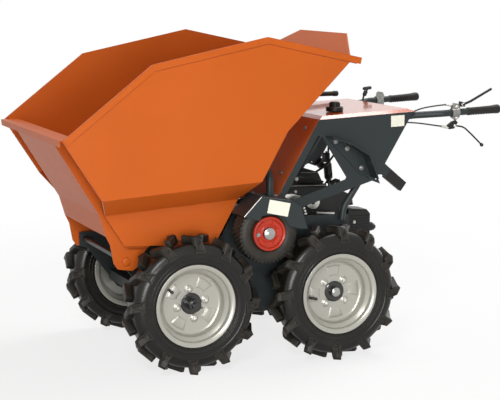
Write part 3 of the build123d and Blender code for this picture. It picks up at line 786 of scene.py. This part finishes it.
@dataclass
class MainRim:
    """A pressed steel rim: a rolled flange, a drop-centre barrel and a disc with four raised fans."""

    fan_turn: float = 45.0
    fan_half_angle: float = 17.5
    fan_inner_r: float = 56.0
    fan_outer_r: float = 93.0
    stud_circle: float = 50.5
    section: tuple[Pair, ...] = (
        (51.2, 136.2), (51.2, 138.6), (50.2, 139.5), (47.6, 139.4), (46.2, 137.0), (45.6, 131.0),
        (45.2, 127.0), (33.0, 126.0), (24.5, 112.5), (20.0, 112.0), (-20.0, 112.0), (-30.0, 126.0),
        (-45.5, 127.0), (-46.0, 138.5), (-51.2, 139.5), (-51.0, 135.5), (-48.0, 123.5), (-31.0, 122.0),
        (-20.0, 108.4), (-6.0, 108.0), (-4.0, 98.0), (-4.0, 36.0), (1.0, 36.0), (1.0, 96.0), (1.9, 100.0),
        (4.6, 104.0), (8.6, 106.4), (12.0, 107.4), (25.0, 108.0), (27.4, 109.2), (33.6, 120.4),
        (36.0, 122.4), (44.6, 123.2), (46.6, 124.4), (48.8, 128.0), (50.4, 133.2),
    )

    def build(self, corner: str, side: int, turn: float) -> bpy.types.Object:
        """Makes one rim, which stands for the solid one.

        Args:
            corner: the wheel's name.
            side: 1 on the left, -1 on the right.
            turn: the angle of its first stud, in degrees.

        Returns:
            The piece.
        """
        form = Form()
        form.lathe(self.section, 112, ring=True)
        for angle in range(0, 360, 90):
            self.fan(form, turn + self.fan_turn + angle)
            x, z = on_circle(self.stud_circle, turn + angle)
            seat = ((0.6, 0.0), (0.6, 14.6), (1.6, 14.0), (3.2, 12.4), (4.2, 10.0), (4.2, 0.0))
            form.lathe(seat, 28, at(x, 0.0, z))
        form.place(Matrix.Translation(centre_of(f"rim_{corner}")) @ mirrored(side))
        return form.finish(f"pressed_rim_{corner}", Finish.SILVER, f"wheel_{corner}", [f"rim_{corner}"])

    def fan(self, form: Form, angle: float) -> None:
        """Makes one raised fan with rounded shoulders.

        Args:
            form: the mesh.
            angle: where its middle is, in degrees from +X towards +Z.
        """
        old = set(form.mesh.verts)
        arc = [angle + self.fan_half_angle * step / 4 for step in range(-4, 5)]
        outline = [on_circle(self.fan_outer_r, degrees) for degrees in arc]
        outline += [on_circle(self.fan_inner_r, degrees) for degrees in reversed(arc)]
        form.prism(outline, 0.4, 1.0)
        form.inset(form.outer_face(old), ((0.8, 0.3), (1.7, 2.0), (0.9, 0.5)))


@dataclass
class MainWheel:
    """What is bolted into a main wheel: its four studs, the valve and the hub's fastening."""

    corner: str
    side: int
    turn: float
    valve_foot: Pair
    valve_tip: Pair
    stud_circle: float = 50.5
    seat_y: float = 345.7

    def build(self) -> list[bpy.types.Object]:
        """Builds the wheel's small parts.

        Returns:
            The pieces.
        """
        shapes = [("studs", self.studs, Finish.ZINC), ("valve", self.valve, Finish.CARCASS)]
        if self.corner.startswith("front"):
            shapes.append(("hub_nut", self.hub_nut, Finish.GLOSS_BLACK))
        else:
            shapes.append(("hub_cap", self.hub_cap, Finish.CHROME))
        middle = centre_of(f"rim_{self.corner}")
        pieces = []
        for name, shape, finish in shapes:
            form = Form()
            shape(form)
            form.place(mirrored(self.side) @ at(middle.x, 0.0, middle.z))
            pieces.append(form.finish(f"{name}_{self.corner}", finish, f"wheel_{self.corner}"))
        return pieces

    def studs(self, form: Form) -> None:
        """Makes the four studs, each with its tapered seat, nut and end.

        Args:
            form: the mesh that they go in.
        """
        for i in range(4):
            x, z = on_circle(self.stud_circle, self.turn + 90.0 * i)
            seat = at(x, self.seat_y, z)
            form.lathe(((-2.0, 0.0), (-2.0, 9.2), (0.4, 9.4), (1.8, 7.8), (1.8, 0.0)), 24, seat)
            form.hexagon(7.4, 6.6, seat @ turned("Y", -self.turn - 17.0 * i) @ at(0.0, 1.6, 0.0))
            form.lathe(((7.4, 0.0), (7.4, 2.9), (9.8, 2.9), (10.3, 2.2), (10.3, 0.0)), 12, seat)

    def hub_cap(self, form: Form) -> None:
        """Makes the bright dust cap of a driven wheel's hub.

        Args:
            form: the mesh that it goes in.
        """
        cap = ((354.0, 0.0), (354.0, 17.6), (358.6, 17.0), (361.4, 13.6), (363.0, 8.0), (363.4, 0.0))
        form.lathe(cap, 36)

    def hub_nut(self, form: Form) -> None:
        """Makes the stub's collar, castle nut and split pin.

        Args:
            form: the mesh that they go in.
        """
        form.lathe(((350.6, 12.9), (350.6, 20.4), (371.4, 20.0), (372.0, 19.4), (372.0, 12.9)), 32, ring=True)
        form.lathe(((372.0, 12.8), (372.0, 20.6), (386.0, 20.6), (387.4, 18.8), (387.4, 12.8)), 12, ring=True)
        form.rod(((-23.0, 389.6, -7.6), (22.0, 389.6, 7.4)), 2.3, 8)
        form.rod(((21.0, 389.6, 7.0), (23.5, 384.0, 10.0), (22.0, 376.5, 14.0)), 1.8, 8)

    def valve(self, form: Form) -> None:
        """Makes the tyre valve and its cap.

        Args:
            form: the mesh that they go in.
        """
        foot = Vector((self.valve_foot[0], 350.5, self.valve_foot[1]))
        tip = Vector((self.valve_tip[0], 362.0, self.valve_tip[1]))
        end = (tip - foot).length
        stem = ((-6.0, 0.0), (-6.0, 6.5), (1.0, 6.2), (4.0, 4.8), (end - 11.0, 4.3))
        cap = ((end - 10.5, 5.1), (end - 1.2, 5.1), (end, 4.0), (end, 0.0))
        form.lathe(stem + cap, 16, facing(foot, tip - foot, "Y", "Z"))


@dataclass
class FrictionWheel:
    """A friction wheel's block-tread tyre, its bright cap and its valve bolt."""

    hand: str
    side: int
    tread_r: float = 101.2
    outer_r: float = 103.9
    blocks: int = 44
    bolt_x: float = 38.5
    bolt_z: float = -3.0
    rows: tuple[Pair, ...] = ((-25.5, 0.0), (-8.6, 0.5), (8.6, 0.0), (25.5, 0.5))
    cap: tuple[Pair, ...] = (
        (36.1, 0.0), (36.1, 22.6), (38.0, 21.8), (44.6, 19.8), (48.8, 12.6), (50.6, 4.0), (50.7, 0.0),
    )
    profile: tuple[Pair, ...] = (
        (30.2, 49.7), (31.0, 58.6), (34.6, 60.5), (36.2, 64.0), (38.9, 70.0), (39.8, 77.0), (39.6, 84.0),
        (37.6, 92.0), (34.0, 98.0), (30.0, 101.2), (12.0, 101.2),
    )

    def build(self) -> list[bpy.types.Object]:
        """Builds the wheel's pieces.

        Returns:
            The tyre, which stands for the solid one, and the bright parts.
        """
        node = f"drive_tyre_{self.hand}"
        body = f"drive_wheel_{self.hand}"
        place = Matrix.Translation(centre_of(node)) @ mirrored(self.side)
        tyre = Form()
        tyre.lathe(both_halves(self.profile), 88, ring=True)
        self.tread(tyre)
        tyre.place(place)
        bright = Form()
        bright.lathe(self.cap, 40)
        bright.hexagon(5.6, 4.6, at(self.bolt_x, 37.2, self.bolt_z))
        washer = ((35.4, 0.0), (35.4, 7.0), (37.2, 7.0), (37.2, 0.0))
        bright.lathe(washer, 20, at(self.bolt_x, 0.0, self.bolt_z))
        bright.place(place)
        return [
            tyre.finish(f"block_tread_{self.hand}", Finish.TREAD, body, [node]),
            bright.finish(f"drive_cap_{self.hand}", Finish.CHROME, body),
        ]

    def tread(self, form: Form) -> None:
        """Sets the rows of blocks and the shoulder ribs round the tyre.

        Args:
            form: the mesh that they join.
        """
        high = self.outer_r - self.tread_r
        for row, shift in self.rows:
            old = set(form.mesh.verts)
            form.block((9.6, 12.6, high + 1.6), at(0.0, row, self.tread_r + high / 2 - 0.8), 0.5, 1)
            form.array(old, self.places(shift))
        for flip in (1, -1):
            old = set(form.mesh.verts)
            form.block((6.0, 9.0, 9.0), at(0.0, flip * 31.4, 95.4) @ turned("X", flip * 28.0))
            form.array(old, self.places(0.25))

    def places(self, shift: float) -> list[Matrix]:
        """The turns about Y that set one row round the tyre, shifted by a share of the pitch."""
        return [turned("Y", (i + shift) * 360.0 / self.blocks) for i in range(self.blocks)]


# -------------------------------------------------------------------------- body

@dataclass
class Trim:
    """A group of small pieces on one body. The method of each piece's name shapes it."""

    body: ClassVar[str] = "chassis"
    finishes: ClassVar[dict[str, Finish]] = {}

    def build(self) -> list[bpy.types.Object]:
        """Builds the pieces.

        Returns:
            The pieces, in the order of their finishes.
        """
        pieces = []
        for name, finish in self.finishes.items():
            form = Form()
            getattr(self, name)(form)
            pieces.append(form.finish(name, finish, self.body))
        return pieces


@dataclass
class SkipTrim(Trim):
    """The skip's small parts: beads along its sheet edges, weld runs and the caps over its pivot."""

    body: ClassVar[str] = "skip"
    finishes: ClassVar[dict[str, Finish]] = {
        "skip_edge_beads": Finish.GLOSS_ORANGE,
        "skip_welds": Finish.ORANGE,
        "pivot_caps": Finish.ORANGE,
        "skip_rim_shadow_lines": Finish.PAINTED_SHADOW_LINE,
    }
    half: float = 384.7
    low_half: float = 271.0
    bead_r: float = 1.5
    front_edge: tuple[Pair, ...] = ((818.0, 796.0), (688.5, 596.0), (646.0, 531.0), (579.0, 428.5))
    top_edge: tuple[Pair, ...] = ((816.0, 796.6), (522.0, 1027.6), (120.0, 1111.4), (-225.0, 1038.6))
    rim_shadow_path: tuple[Pair, ...] = ((786.0, 794.0), (513.0, 1008.0), (118.0, 1090.0), (-206.0, 1020.5))
    pivot: Pair = (569.0, 372.0)

    def skip_edge_beads(self, form: Form) -> None:
        """Makes the rounded sheet edges along the skip's mouth and its front corners.

        Args:
            form: the mesh that they go in.
        """
        halves = (self.half, self.half, self.low_half, self.low_half)
        for side in (1, -1):
            form.rod([(x, side * (self.half + 1.9), z) for x, z in self.top_edge], self.bead_r, 8)
            form.rod([(x, side * (y - 1.6), z) for (x, z), y in zip(self.front_edge, halves)], self.bead_r, 8)

    def skip_rim_shadow_lines(self, form: Form) -> None:
        """Makes the narrow dark line under the folded rim of each side sheet: painted shade where the rim
        overhangs.
        """
        for _ in form.both_sides():
            form.rod([(x, self.half + 0.6, z) for x, z in self.rim_shadow_path], 1.3, 6)

    def skip_welds(self, form: Form) -> None:
        """Makes the weld runs inside the front corners and on the cradle's legs.

        Args:
            form: the mesh that they go in.
        """
        leg_top = Vector((773.0, 247.0, 782.0))
        leg_foot = Vector((580.0, 247.0, 482.0))
        for _ in form.both_sides():
            self.run(form, Vector((767.0, 380.2, 790.0)), Vector((642.0, 380.2, 603.0)), 26)
            self.run(form, Vector((-236.0, 196.0, 1082.0)), Vector((36.0, 196.0, 806.0)), 3)
            self.run(form, Vector((556.0, 246.0, 414.0)), Vector((500.0, 246.0, 410.0)), 8)
            for share in (0.06, 0.36, 0.66):
                self.run(form, leg_top.lerp(leg_foot, share), leg_top.lerp(leg_foot, share + 0.1), 6)

    def run(self, form: Form, start: Vector, end: Vector, count: int) -> None:
        """Lays one weld of overlapping ripples.

        Args:
            form: the mesh.
            start: its first end.
            end: its other end.
            count: how many ripples it has.
        """
        step = (end - start).length / count
        ripple = ((-step * 0.62, 0.0), (-step * 0.2, 2.6), (step * 0.3, 2.4), (step * 0.62, 0.0))
        for i in range(count):
            middle = start.lerp(end, (i + 0.5) / count)
            form.lathe(ripple, 8, facing(middle, end - start, "Y", "Z"))

    def pivot_caps(self, form: Form) -> None:
        """Makes the painted caps over the pivot shaft's ends.

        Args:
            form: the mesh that they go in.
        """
        x, z = self.pivot
        cap = ((246.0, 0.0), (246.0, 13.4), (252.2, 13.4), (253.6, 11.4), (254.0, 0.0))
        for _ in form.both_sides():
            form.lathe(cap, 32, at(x, 0.0, z))


@dataclass
class GuardTrim(Trim):
    """What is fixed to the folded guards: blank plates, bright rods along the folds that are a painted
    highlight, and the bolts round the skip's rest.
    """

    finishes: ClassVar[dict[str, Finish]] = {
        "guard_plates": Finish.PLATE,
        "guard_edge_highlights": Finish.PAINTED_EDGE_HIGHLIGHT,
        "guard_bolts": Finish.DULL_ZINC,
    }
    face_y: float = 389.1
    fold: tuple[Pair, ...] = ((203.0, 521.2), (141.0, 585.2), (33.0, 566.2))
    plate_outline: tuple[Pair, ...] = ((112.0, 575.0), (36.0, 558.0), (46.0, 513.0), (121.0, 530.0))

    def guard_plates(self, form: Form) -> None:
        """Makes the blank plates."""
        for _ in form.both_sides():
            form.prism(self.plate_outline, self.face_y + 0.4, self.face_y + 1.4)

    def guard_edge_highlights(self, form: Form) -> None:
        """Makes bright rods along the edges of the folds: a painted highlight where the folds catch light.

        Args:
            form: the mesh that they go in.
        """
        front, top, back = ((x, self.face_y, z) for x, z in self.fold)
        for _ in form.both_sides():
            form.rod((front, top), 1.7, 8)
            form.rod((top, back), 1.0, 6)

    def guard_bolts(self, form: Form) -> None:
        """Makes the bolts of the skip's rest.

        Args:
            form: the mesh that they go in.
        """
        for _ in form.both_sides():
            for x, z in ((125.0, 582.6), (42.0, 568.2)):
                form.bolt(at(x, 276.0, z) @ turned("Y", -10.0) @ turned("X", 90.0), 6.5, 9.0, 4.0)


@dataclass
class ConsoleTrim(Trim):
    """The console's fastenings, its blank rating plate and the bright edges of its front panel."""

    finishes: ClassVar[dict[str, Finish]] = {
        "console_bolts": Finish.DULL_ZINC,
        "console_panel_edges": Finish.GLOSS_ORANGE,
        "rating_plate": Finish.PLATE,
    }
    side_y: float = 261.0
    top_front: Pair = (-128.0, 820.0)
    top_slope: float = -0.046
    bracket_bolts: tuple[Pair, ...] = ((-191.0, 745.0), (-236.0, 718.0), (-293.0, 648.0))
    plate_outline: tuple[Pair, ...] = ((-409.0, 826.0), (-462.0, 828.0), (-462.0, 789.0), (-409.0, 787.0))

    def console_bolts(self, form: Form) -> None:
        """Makes the brackets' bolts, those of the front panel and the screws of the top.

        Args:
            form: the mesh that they go in.
        """
        front_x, front_z = self.top_front
        for _ in form.both_sides():
            for x, z in self.bracket_bolts:
                form.bolt(at(x, self.side_y + 3.9, z), 6.6, 9.0, 4.4)
            for x, z in ((-18.0, 634.0), (-108.0, 787.0)):
                form.bolt(at(x, 193.0, z) @ turned("Z", -90.0) @ turned("X", 30.0), 6.0, 8.5, 4.0)
            for x in (-150.0, -480.0):
                z = front_z + 3.6 + (x - front_x) * self.top_slope
                form.dome(6.0, 3.0, at(x, 232.0, z) @ turned("X", 90.0))

    def console_panel_edges(self, form: Form) -> None:
        """Makes the polished edges of the front panel."""
        for _ in form.both_sides():
            form.rod([(self.top_front[0], 258.6, self.top_front[1]), (21.0, 258.6, 567.0)], 1.5, 8)

    def rating_plate(self, form: Form) -> None:
        """Makes the blank rating plate."""
        form.prism(self.plate_outline, self.side_y - 0.4, self.side_y + 0.8)


@dataclass
class EngineTrim(Trim):
    """The engine's outside fittings: plug and lead, carburettor, pulley, starter handle, bolts and lines."""

    finishes: ClassVar[dict[str, Finish]] = {
        "engine_bright_parts": Finish.ZINC,
        "engine_dark_parts": Finish.BLACK,
        "belt_tensioner": Finish.ZINC,
        "starter_parts": Finish.RUBBER,
    }
    fan_x: float = -140.0
    fan_z: float = 372.0
    tensioner: tuple[Pair, ...] = (
        (-22.0, 561.0), (-52.0, 561.0), (-83.0, 552.0), (-83.0, 545.0), (-50.0, 541.0), (-36.0, 531.0),
        (-22.0, 533.0),
    )
    leads: tuple[tuple[float, tuple[Point, ...]], ...] = (
        (3.6, ((-322.0, 26.0, 566.0), (-330.0, 50.0, 556.0), (-318.0, 84.0, 552.0), (-290.0, 92.0, 552.0))),
        (3.2, ((-118.0, 66.0, 600.0), (-122.0, 96.0, 604.0), (-170.0, 118.0, 600.0), (-214.0, 122.0, 584.0))),
        (3.4, ((-240.0, 74.0, 562.0), (-262.0, 92.0, 606.0), (-252.0, 96.0, 652.0), (-236.0, 96.0, 690.0))),
        (4.0, ((-214.0, 60.0, 612.0), (-236.0, 100.0, 640.0), (-262.0, 140.0, 700.0), (-264.0, 150.0, 752.0))),
    )

    def engine_bright_parts(self, form: Form) -> None:
        """Makes the plated bolts and rods, the pulley's rim and the fuel filter; the thin bright rods along
        the cowl's top edge are a painted highlight.

        Args:
            form: the mesh that they go in.
        """
        bolts = (
            ((-92.0, 221.8, 510.0), 3.6, 4.6, 3.0), ((-96.0, 221.8, 500.0), 3.6, 4.6, 3.0),
            ((-99.0, 221.8, 490.0), 3.6, 4.6, 3.0), ((-330.0, 141.8, 434.0), 4.5, 6.0, 4.0),
            ((-110.0, 111.6, 552.0), 4.0, 5.5, 3.6),
        )
        for place, head, washer, height in bolts:
            form.bolt(at(*place), head, washer, height)
        form.rod(((-185.0, 127.0, 474.0), (-256.0, 127.0, 469.0)), 5.2, 14)
        # These two thin bright rods follow the cowl's top edge: a painted highlight where that edge catches
        # light.
        form.rod(((-287.0, 111.0, 549.0), (-322.0, 111.0, 534.5), (-336.0, 111.0, 519.0)), 1.8, 8)
        form.rod(((-84.0, 111.0, 573.5), (-228.0, 111.0, 568.5), (-284.0, 111.0, 549.5)), 1.2, 8)
        form.rod(((-158.0, 54.0, 612.0), (-224.0, 54.0, 609.0)), 1.4, 8)
        rim = ((112.5, 9.0), (112.5, 25.0), (116.0, 26.0), (117.0, 23.0), (117.0, 9.0))
        form.lathe(rim, 28, at(-178.0, 0.0, 512.0), ring=True)
        form.lathe(((-6.0, 0.0), (-6.0, 8.0), (4.0, 8.0), (6.0, 6.0), (6.0, 0.0)), 18, at(-136.0, 60.0, 590.0))

    def engine_dark_parts(self, form: Form) -> None:
        """Makes the plug cap and its lead, the carburettor's bowl, the fuel and throttle lines and the coil.

        Args:
            form: the mesh that they go in.
        """
        form.rod(((-290.0, 20.0, 560.0), (-312.0, 22.0, 571.0), (-326.0, 26.0, 566.0)), 8.5, 14)
        form.rod(((-124.0, -6.0, 556.0), (-124.0, -6.0, 512.0)), 22.0, 24)
        form.rod(((-124.0, -6.0, 512.0), (-124.0, -6.0, 500.0)), 15.0, 20)
        for radius, points in self.leads:
            form.rod(points, radius, 10)
        form.block((26.0, 18.0, 34.0), at(-236.0, 96.0, 668.0), 3.0)

    def belt_tensioner(self, form: Form) -> None:
        """Makes the pale belt tensioner behind the guard, with its stepped end."""
        form.prism(self.tensioner, 186.0, 214.0, 1.0)

    def starter_parts(self, form: Form) -> None:
        """Makes the starter's pull handle, the fan cover's screws and its ring.

        Args:
            form: the mesh that they go in.
        """
        ring = ((-175.5, 0.0), (-175.5, 30.0), (-173.5, 31.0), (-173.5, 0.0))
        form.lathe(ring, 32, at(self.fan_x, 0.0, self.fan_z))
        for angle in (40.0, 130.0, 220.0, 310.0):
            x, z = on_circle(84.0, angle)
            form.hexagon(6.0, 5.0, at(self.fan_x + x, -132.0, self.fan_z + z))
        form.rod(((-80.0, -150.0, 424.0), (-66.0, -154.0, 436.0)), 4.0, 10)
        form.rod(((-72.0, -170.0, 446.0), (-58.0, -138.0, 438.0)), 6.5, 14)


@dataclass
class ChassisTrim(Trim):
    """The bolts that hold the side plates to the cross bars, and the bearing housings of the shafts."""

    finishes: ClassVar[dict[str, Finish]] = {
        "chassis_bolts": Finish.BLACK,
        "shaft_housings": Finish.BLACK,
    }
    face_y: float = 227.9
    bar_bolts: tuple[Pair, ...] = (
        (451.0, 244.0), (469.0, 226.0), (161.0, 199.0), (179.0, 181.0), (-185.0, 186.0),
    )
    plate_bolts: tuple[Pair, ...] = ((-20.0, 462.0), (-120.0, 446.0), (-236.0, 440.0))
    drive_shaft: Pair = (109.0, 458.0)
    axles: tuple[Pair, ...] = ((374.0, 233.0), (-154.0, 233.0))
    housing: tuple[Pair, ...] = ((227.8, 18.0), (227.8, 36.0), (236.0, 35.0), (240.0, 28.0), (240.0, 18.0))

    def chassis_bolts(self, form: Form) -> None:
        """Makes the side plates' bolts.

        Args:
            form: the mesh that they go in.
        """
        for _ in form.both_sides():
            for x, z in self.bar_bolts:
                form.bolt(at(x, self.face_y, z), 7.5, 11.0, 5.0)
            for x, z in self.plate_bolts:
                form.bolt(at(x, self.face_y, z), 5.5, 8.0, 4.0)

    def shaft_housings(self, form: Form) -> None:
        """Makes the bearing housings, wider round the axles than round the drive shaft.

        Args:
            form: the mesh that they go in.
        """
        for _ in form.both_sides():
            for (x, z), wider in ((self.drive_shaft, 0.0), *((axle, 8.0) for axle in self.axles)):
                form.lathe([(y, r + wider) for y, r in self.housing], 36, at(x, 0.0, z), ring=True)


@dataclass
class HandleTrim(Trim):
    """The handlebars' small parts: grip rings, clamp bolts and the cables' ferrules."""

    finishes: ClassVar[dict[str, Finish]] = {
        "grip_rings": Finish.RUBBER,
        "clamp_bolts": Finish.ZINC,
        "cable_ferrules": Finish.ZINC,
    }
    rings: int = 11
    ring_r: float = 13.2
    ring_growth: float = 1.1
    grip_start: Point = (-704.0, 290.2, 835.2)
    grip_end: Point = (-806.0, 296.9, 840.3)

    def grip_rings(self, form: Form) -> None:
        """Makes the raised finger rings moulded round each grip.

        Args:
            form: the mesh that they go in.
        """
        start = Vector(self.grip_start)
        end = Vector(self.grip_end)
        for _ in form.both_sides():
            for i in range(self.rings):
                share = i / (self.rings - 1)
                radius = self.ring_r + self.ring_growth * share
                ring = ((-1.6, radius - 0.5), (-0.7, radius + 0.75), (0.7, radius + 0.75), (1.6, radius - 0.5))
                form.lathe(ring, 28, facing(start.lerp(end, share), end - start, "Y", "Z"), ring=True)

    def clamp_bolts(self, form: Form) -> None:
        """Makes the clamps' bolts on both sides and, on the left, the levers' pivot screws.

        Args:
            form: the mesh that they go in.
        """
        for _ in form.both_sides():
            for x, y, z in ((-655.0, 293.6, 855.0), (-655.0, 291.6, 815.0)):
                form.bolt(at(x, y, z), 4.2, 6.0, 3.4)
        form.bolt(at(-680.0, 294.0, 861.0), 4.6, 6.4, 4.2)
        form.bolt(at(-650.0, 291.6, 786.0), 4.2, 5.6, 3.4)

    def cable_ferrules(self, form: Form) -> None:
        """Makes the threaded adjusters where the cables enter the levers.

        Args:
            form: the mesh that they go in.
        """
        for start, end in (
            (Vector((-614.0, 283.4, 861.6)), Vector((-640.0, 286.0, 860.0))),
            (Vector((-598.0, 283.8, 785.4)), Vector((-626.0, 286.0, 780.0))),
        ):
            form.rod((start, end), 4.2, 14)
            form.rod((start.lerp(end, 0.55), start.lerp(end, 0.8)), 5.8, 6)


# ------------------------------------------------------------------------ studio

@dataclass(frozen=True)
class Lamp:
    """One square soft lamp, in metres and watts."""

    name: str
    place: Point
    target: Point
    size: float
    watts: float

    def hang(self) -> None:
        """Hangs the lamp so that it faces its target."""
        light = bpy.data.lights.new(self.name, "AREA")
        light.size = self.size
        light.energy = self.watts
        lamp = bpy.data.objects.new(self.name, light)
        lamp.location = self.place
        lamp.rotation_euler = (Vector(self.target) - Vector(self.place)).to_track_quat("-Z", "Y").to_euler()
        bpy.context.scene.collection.objects.link(lamp)


@dataclass
class Studio:
    """The pale floor, the soft lamps, the world and the camera."""

    floor_colour: Colour = (0.90, 0.90, 0.90)
    floor_half: float = 40.0
    sky_light: float = 0.26
    camera_place: Point = (2.0716, 4.8479, 1.3048)
    camera_yaw: float = 22.954
    camera_pitch: float = 8.546
    camera_roll: float = 0.254
    camera_lens: float = 106.53
    lamps: tuple[Lamp, ...] = (
        Lamp("key", (2.6, 4.4, 3.4), (0.1, 0.0, 0.6), 1.4, 128.0),
        Lamp("front", (1.7, 5.4, 0.5), (0.0, 0.0, 0.5), 1.8, 165.0),
        Lamp("top", (-1.4, -0.6, 4.2), (-0.1, 0.0, 0.6), 2.0, 92.0),
        Lamp("back", (-4.8, -2.4, 2.0), (0.0, 0.0, 0.55), 2.4, 80.0),
    )

    def build(self) -> None:
        """Builds the studio."""
        self.world()
        for lamp in self.lamps:
            lamp.hang()
        self.camera()
        self.floor()

    def floor(self) -> None:
        """Lays the floor."""
        shape = bmesh.new()
        bmesh.ops.create_grid(shape, x_segments=1, y_segments=1, size=self.floor_half)
        mesh = bpy.data.meshes.new("floor")
        shape.to_mesh(mesh)
        shape.free()
        mesh.materials.append(self.floor_material())
        floor = bpy.data.objects.new("floor", mesh)
        bpy.context.scene.collection.objects.link(floor)

    def floor_material(self) -> bpy.types.Material:
        """Makes the floor's white, which keeps the machine's shadow and shines plain white far away.

        Returns:
            The material.
        """
        graph = Graph(bpy.data.materials.new("pale floor"))
        tone = graph.noise(0.8, 3.0).between(0.3, 0.8)
        colour = graph.mix(tone * 0.1, self.floor_colour, (0.88, 0.88, 0.88))
        matt = graph.add("ShaderNodeBsdfPrincipled", {"Base Color": colour, "Roughness": 0.9})
        white = graph.add("ShaderNodeEmission", {"Color": (1.0, 1.0, 1.0), "Strength": 1.0})
        length = graph.add("ShaderNodeVectorMath", {0: graph.place()}, operation="LENGTH")
        far = Signal(graph, length.outputs["Value"]).between(0.9, 3.2)
        mirrored_rays = (graph.ray("Is Glossy Ray") + graph.ray("Is Transmission Ray")).between(0.0, 1.0)
        factor = graph.ray("Is Camera Ray") * (far * 0.24 + 0.76) + mirrored_rays * (far * 0.65 + 0.35)
        shader = graph.add("ShaderNodeMixShader", {0: factor, 1: matt.outputs[0], 2: white.outputs[0]})
        graph.add("ShaderNodeOutputMaterial", {"Surface": shader.outputs[0]})
        return graph.owner

    def world(self) -> None:
        """Makes a world that looks white, also in mirrors, and lights softly."""
        world = bpy.data.worlds.new("studio")
        bpy.context.scene.world = world
        graph = Graph(world)
        mirrored_rays = graph.math("MAXIMUM", graph.ray("Is Glossy Ray"), graph.ray("Is Transmission Ray"))
        seen = graph.math("MAXIMUM", graph.ray("Is Camera Ray"), mirrored_rays)
        strength = graph.add("ShaderNodeMapRange", {"Value": seen, "To Min": self.sky_light, "To Max": 1.0})
        inputs = {"Color": (1.0, 1.0, 1.0), "Strength": strength.outputs[0]}
        background = graph.add("ShaderNodeBackground", inputs)
        graph.add("ShaderNodeOutputWorld", {"Surface": background.outputs[0]})

    def camera(self) -> None:
        """Stands the camera off the machine's front left."""
        data = bpy.data.cameras.new("camera")
        data.lens = self.camera_lens
        data.sensor_width = 36.0
        camera = bpy.data.objects.new("camera", data)
        heading = math.radians(180.0 - self.camera_yaw)
        aim = Euler((math.radians(90.0 - self.camera_pitch), 0.0, heading)).to_matrix().to_4x4()
        camera.matrix_world = Matrix.Translation(self.camera_place) @ aim @ turned("Z", self.camera_roll)
        bpy.context.scene.collection.objects.link(camera)
        bpy.context.scene.camera = camera


# ----------------------------------------------------------------------- machine

# Each wheel's first stud, in degrees, and its valve's foot and tip as (x, z) from the axle.
WHEELS: dict[str, tuple[float, Pair, Pair]] = {
    "front_left": (-11.0, (93.0, 63.0), (70.0, 44.0)),
    "front_right": (24.0, (93.0, -63.0), (70.0, -44.0)),
    "rear_left": (41.0, (103.0, -13.0), (73.0, -18.0)),
    "rear_right": (70.0, (-60.0, 84.0), (-44.0, 60.0)),
}
# The far front tyre is rolled on, and worn by a hair so that no lug dips under the floor.
ROLLED_TYRES = {"front_right": (-11.0, 231.6)}


def dress_wheels() -> None:
    """Adds the tyres and the wheels' small parts."""
    for corner, (turn, valve_foot, valve_tip) in WHEELS.items():
        side = 1 if corner.endswith("left") else -1
        rolled, top_r = ROLLED_TYRES.get(corner, (0.0, MainTyre.top_r))
        MainTyre(top_r=top_r).build(corner, side, rolled)
        MainRim().build(corner, side, turn)
        MainWheel(corner, side, turn, valve_foot, valve_tip).build()
    for hand, side in (("left", 1), ("right", -1)):
        FrictionWheel(hand, side).build()


def main() -> None:
    """Dresses the solids, adds the pieces and builds the studio."""
    logging.basicConfig(level=logging.INFO, format="%(name)s: %(message)s")
    dress_solids()
    log.info("%d solids dressed", len(frame["nodes"]))
    dress_wheels()
    for group in (SkipTrim(), GuardTrim(), ConsoleTrim(), EngineTrim(), ChassisTrim(), HandleTrim()):
        log.info("%s: %d pieces", type(group).__name__, len(group.build()))
    Studio().build()
    bpy.context.scene.view_settings.view_transform = "Standard"


if __name__ == "__main__":
    main()
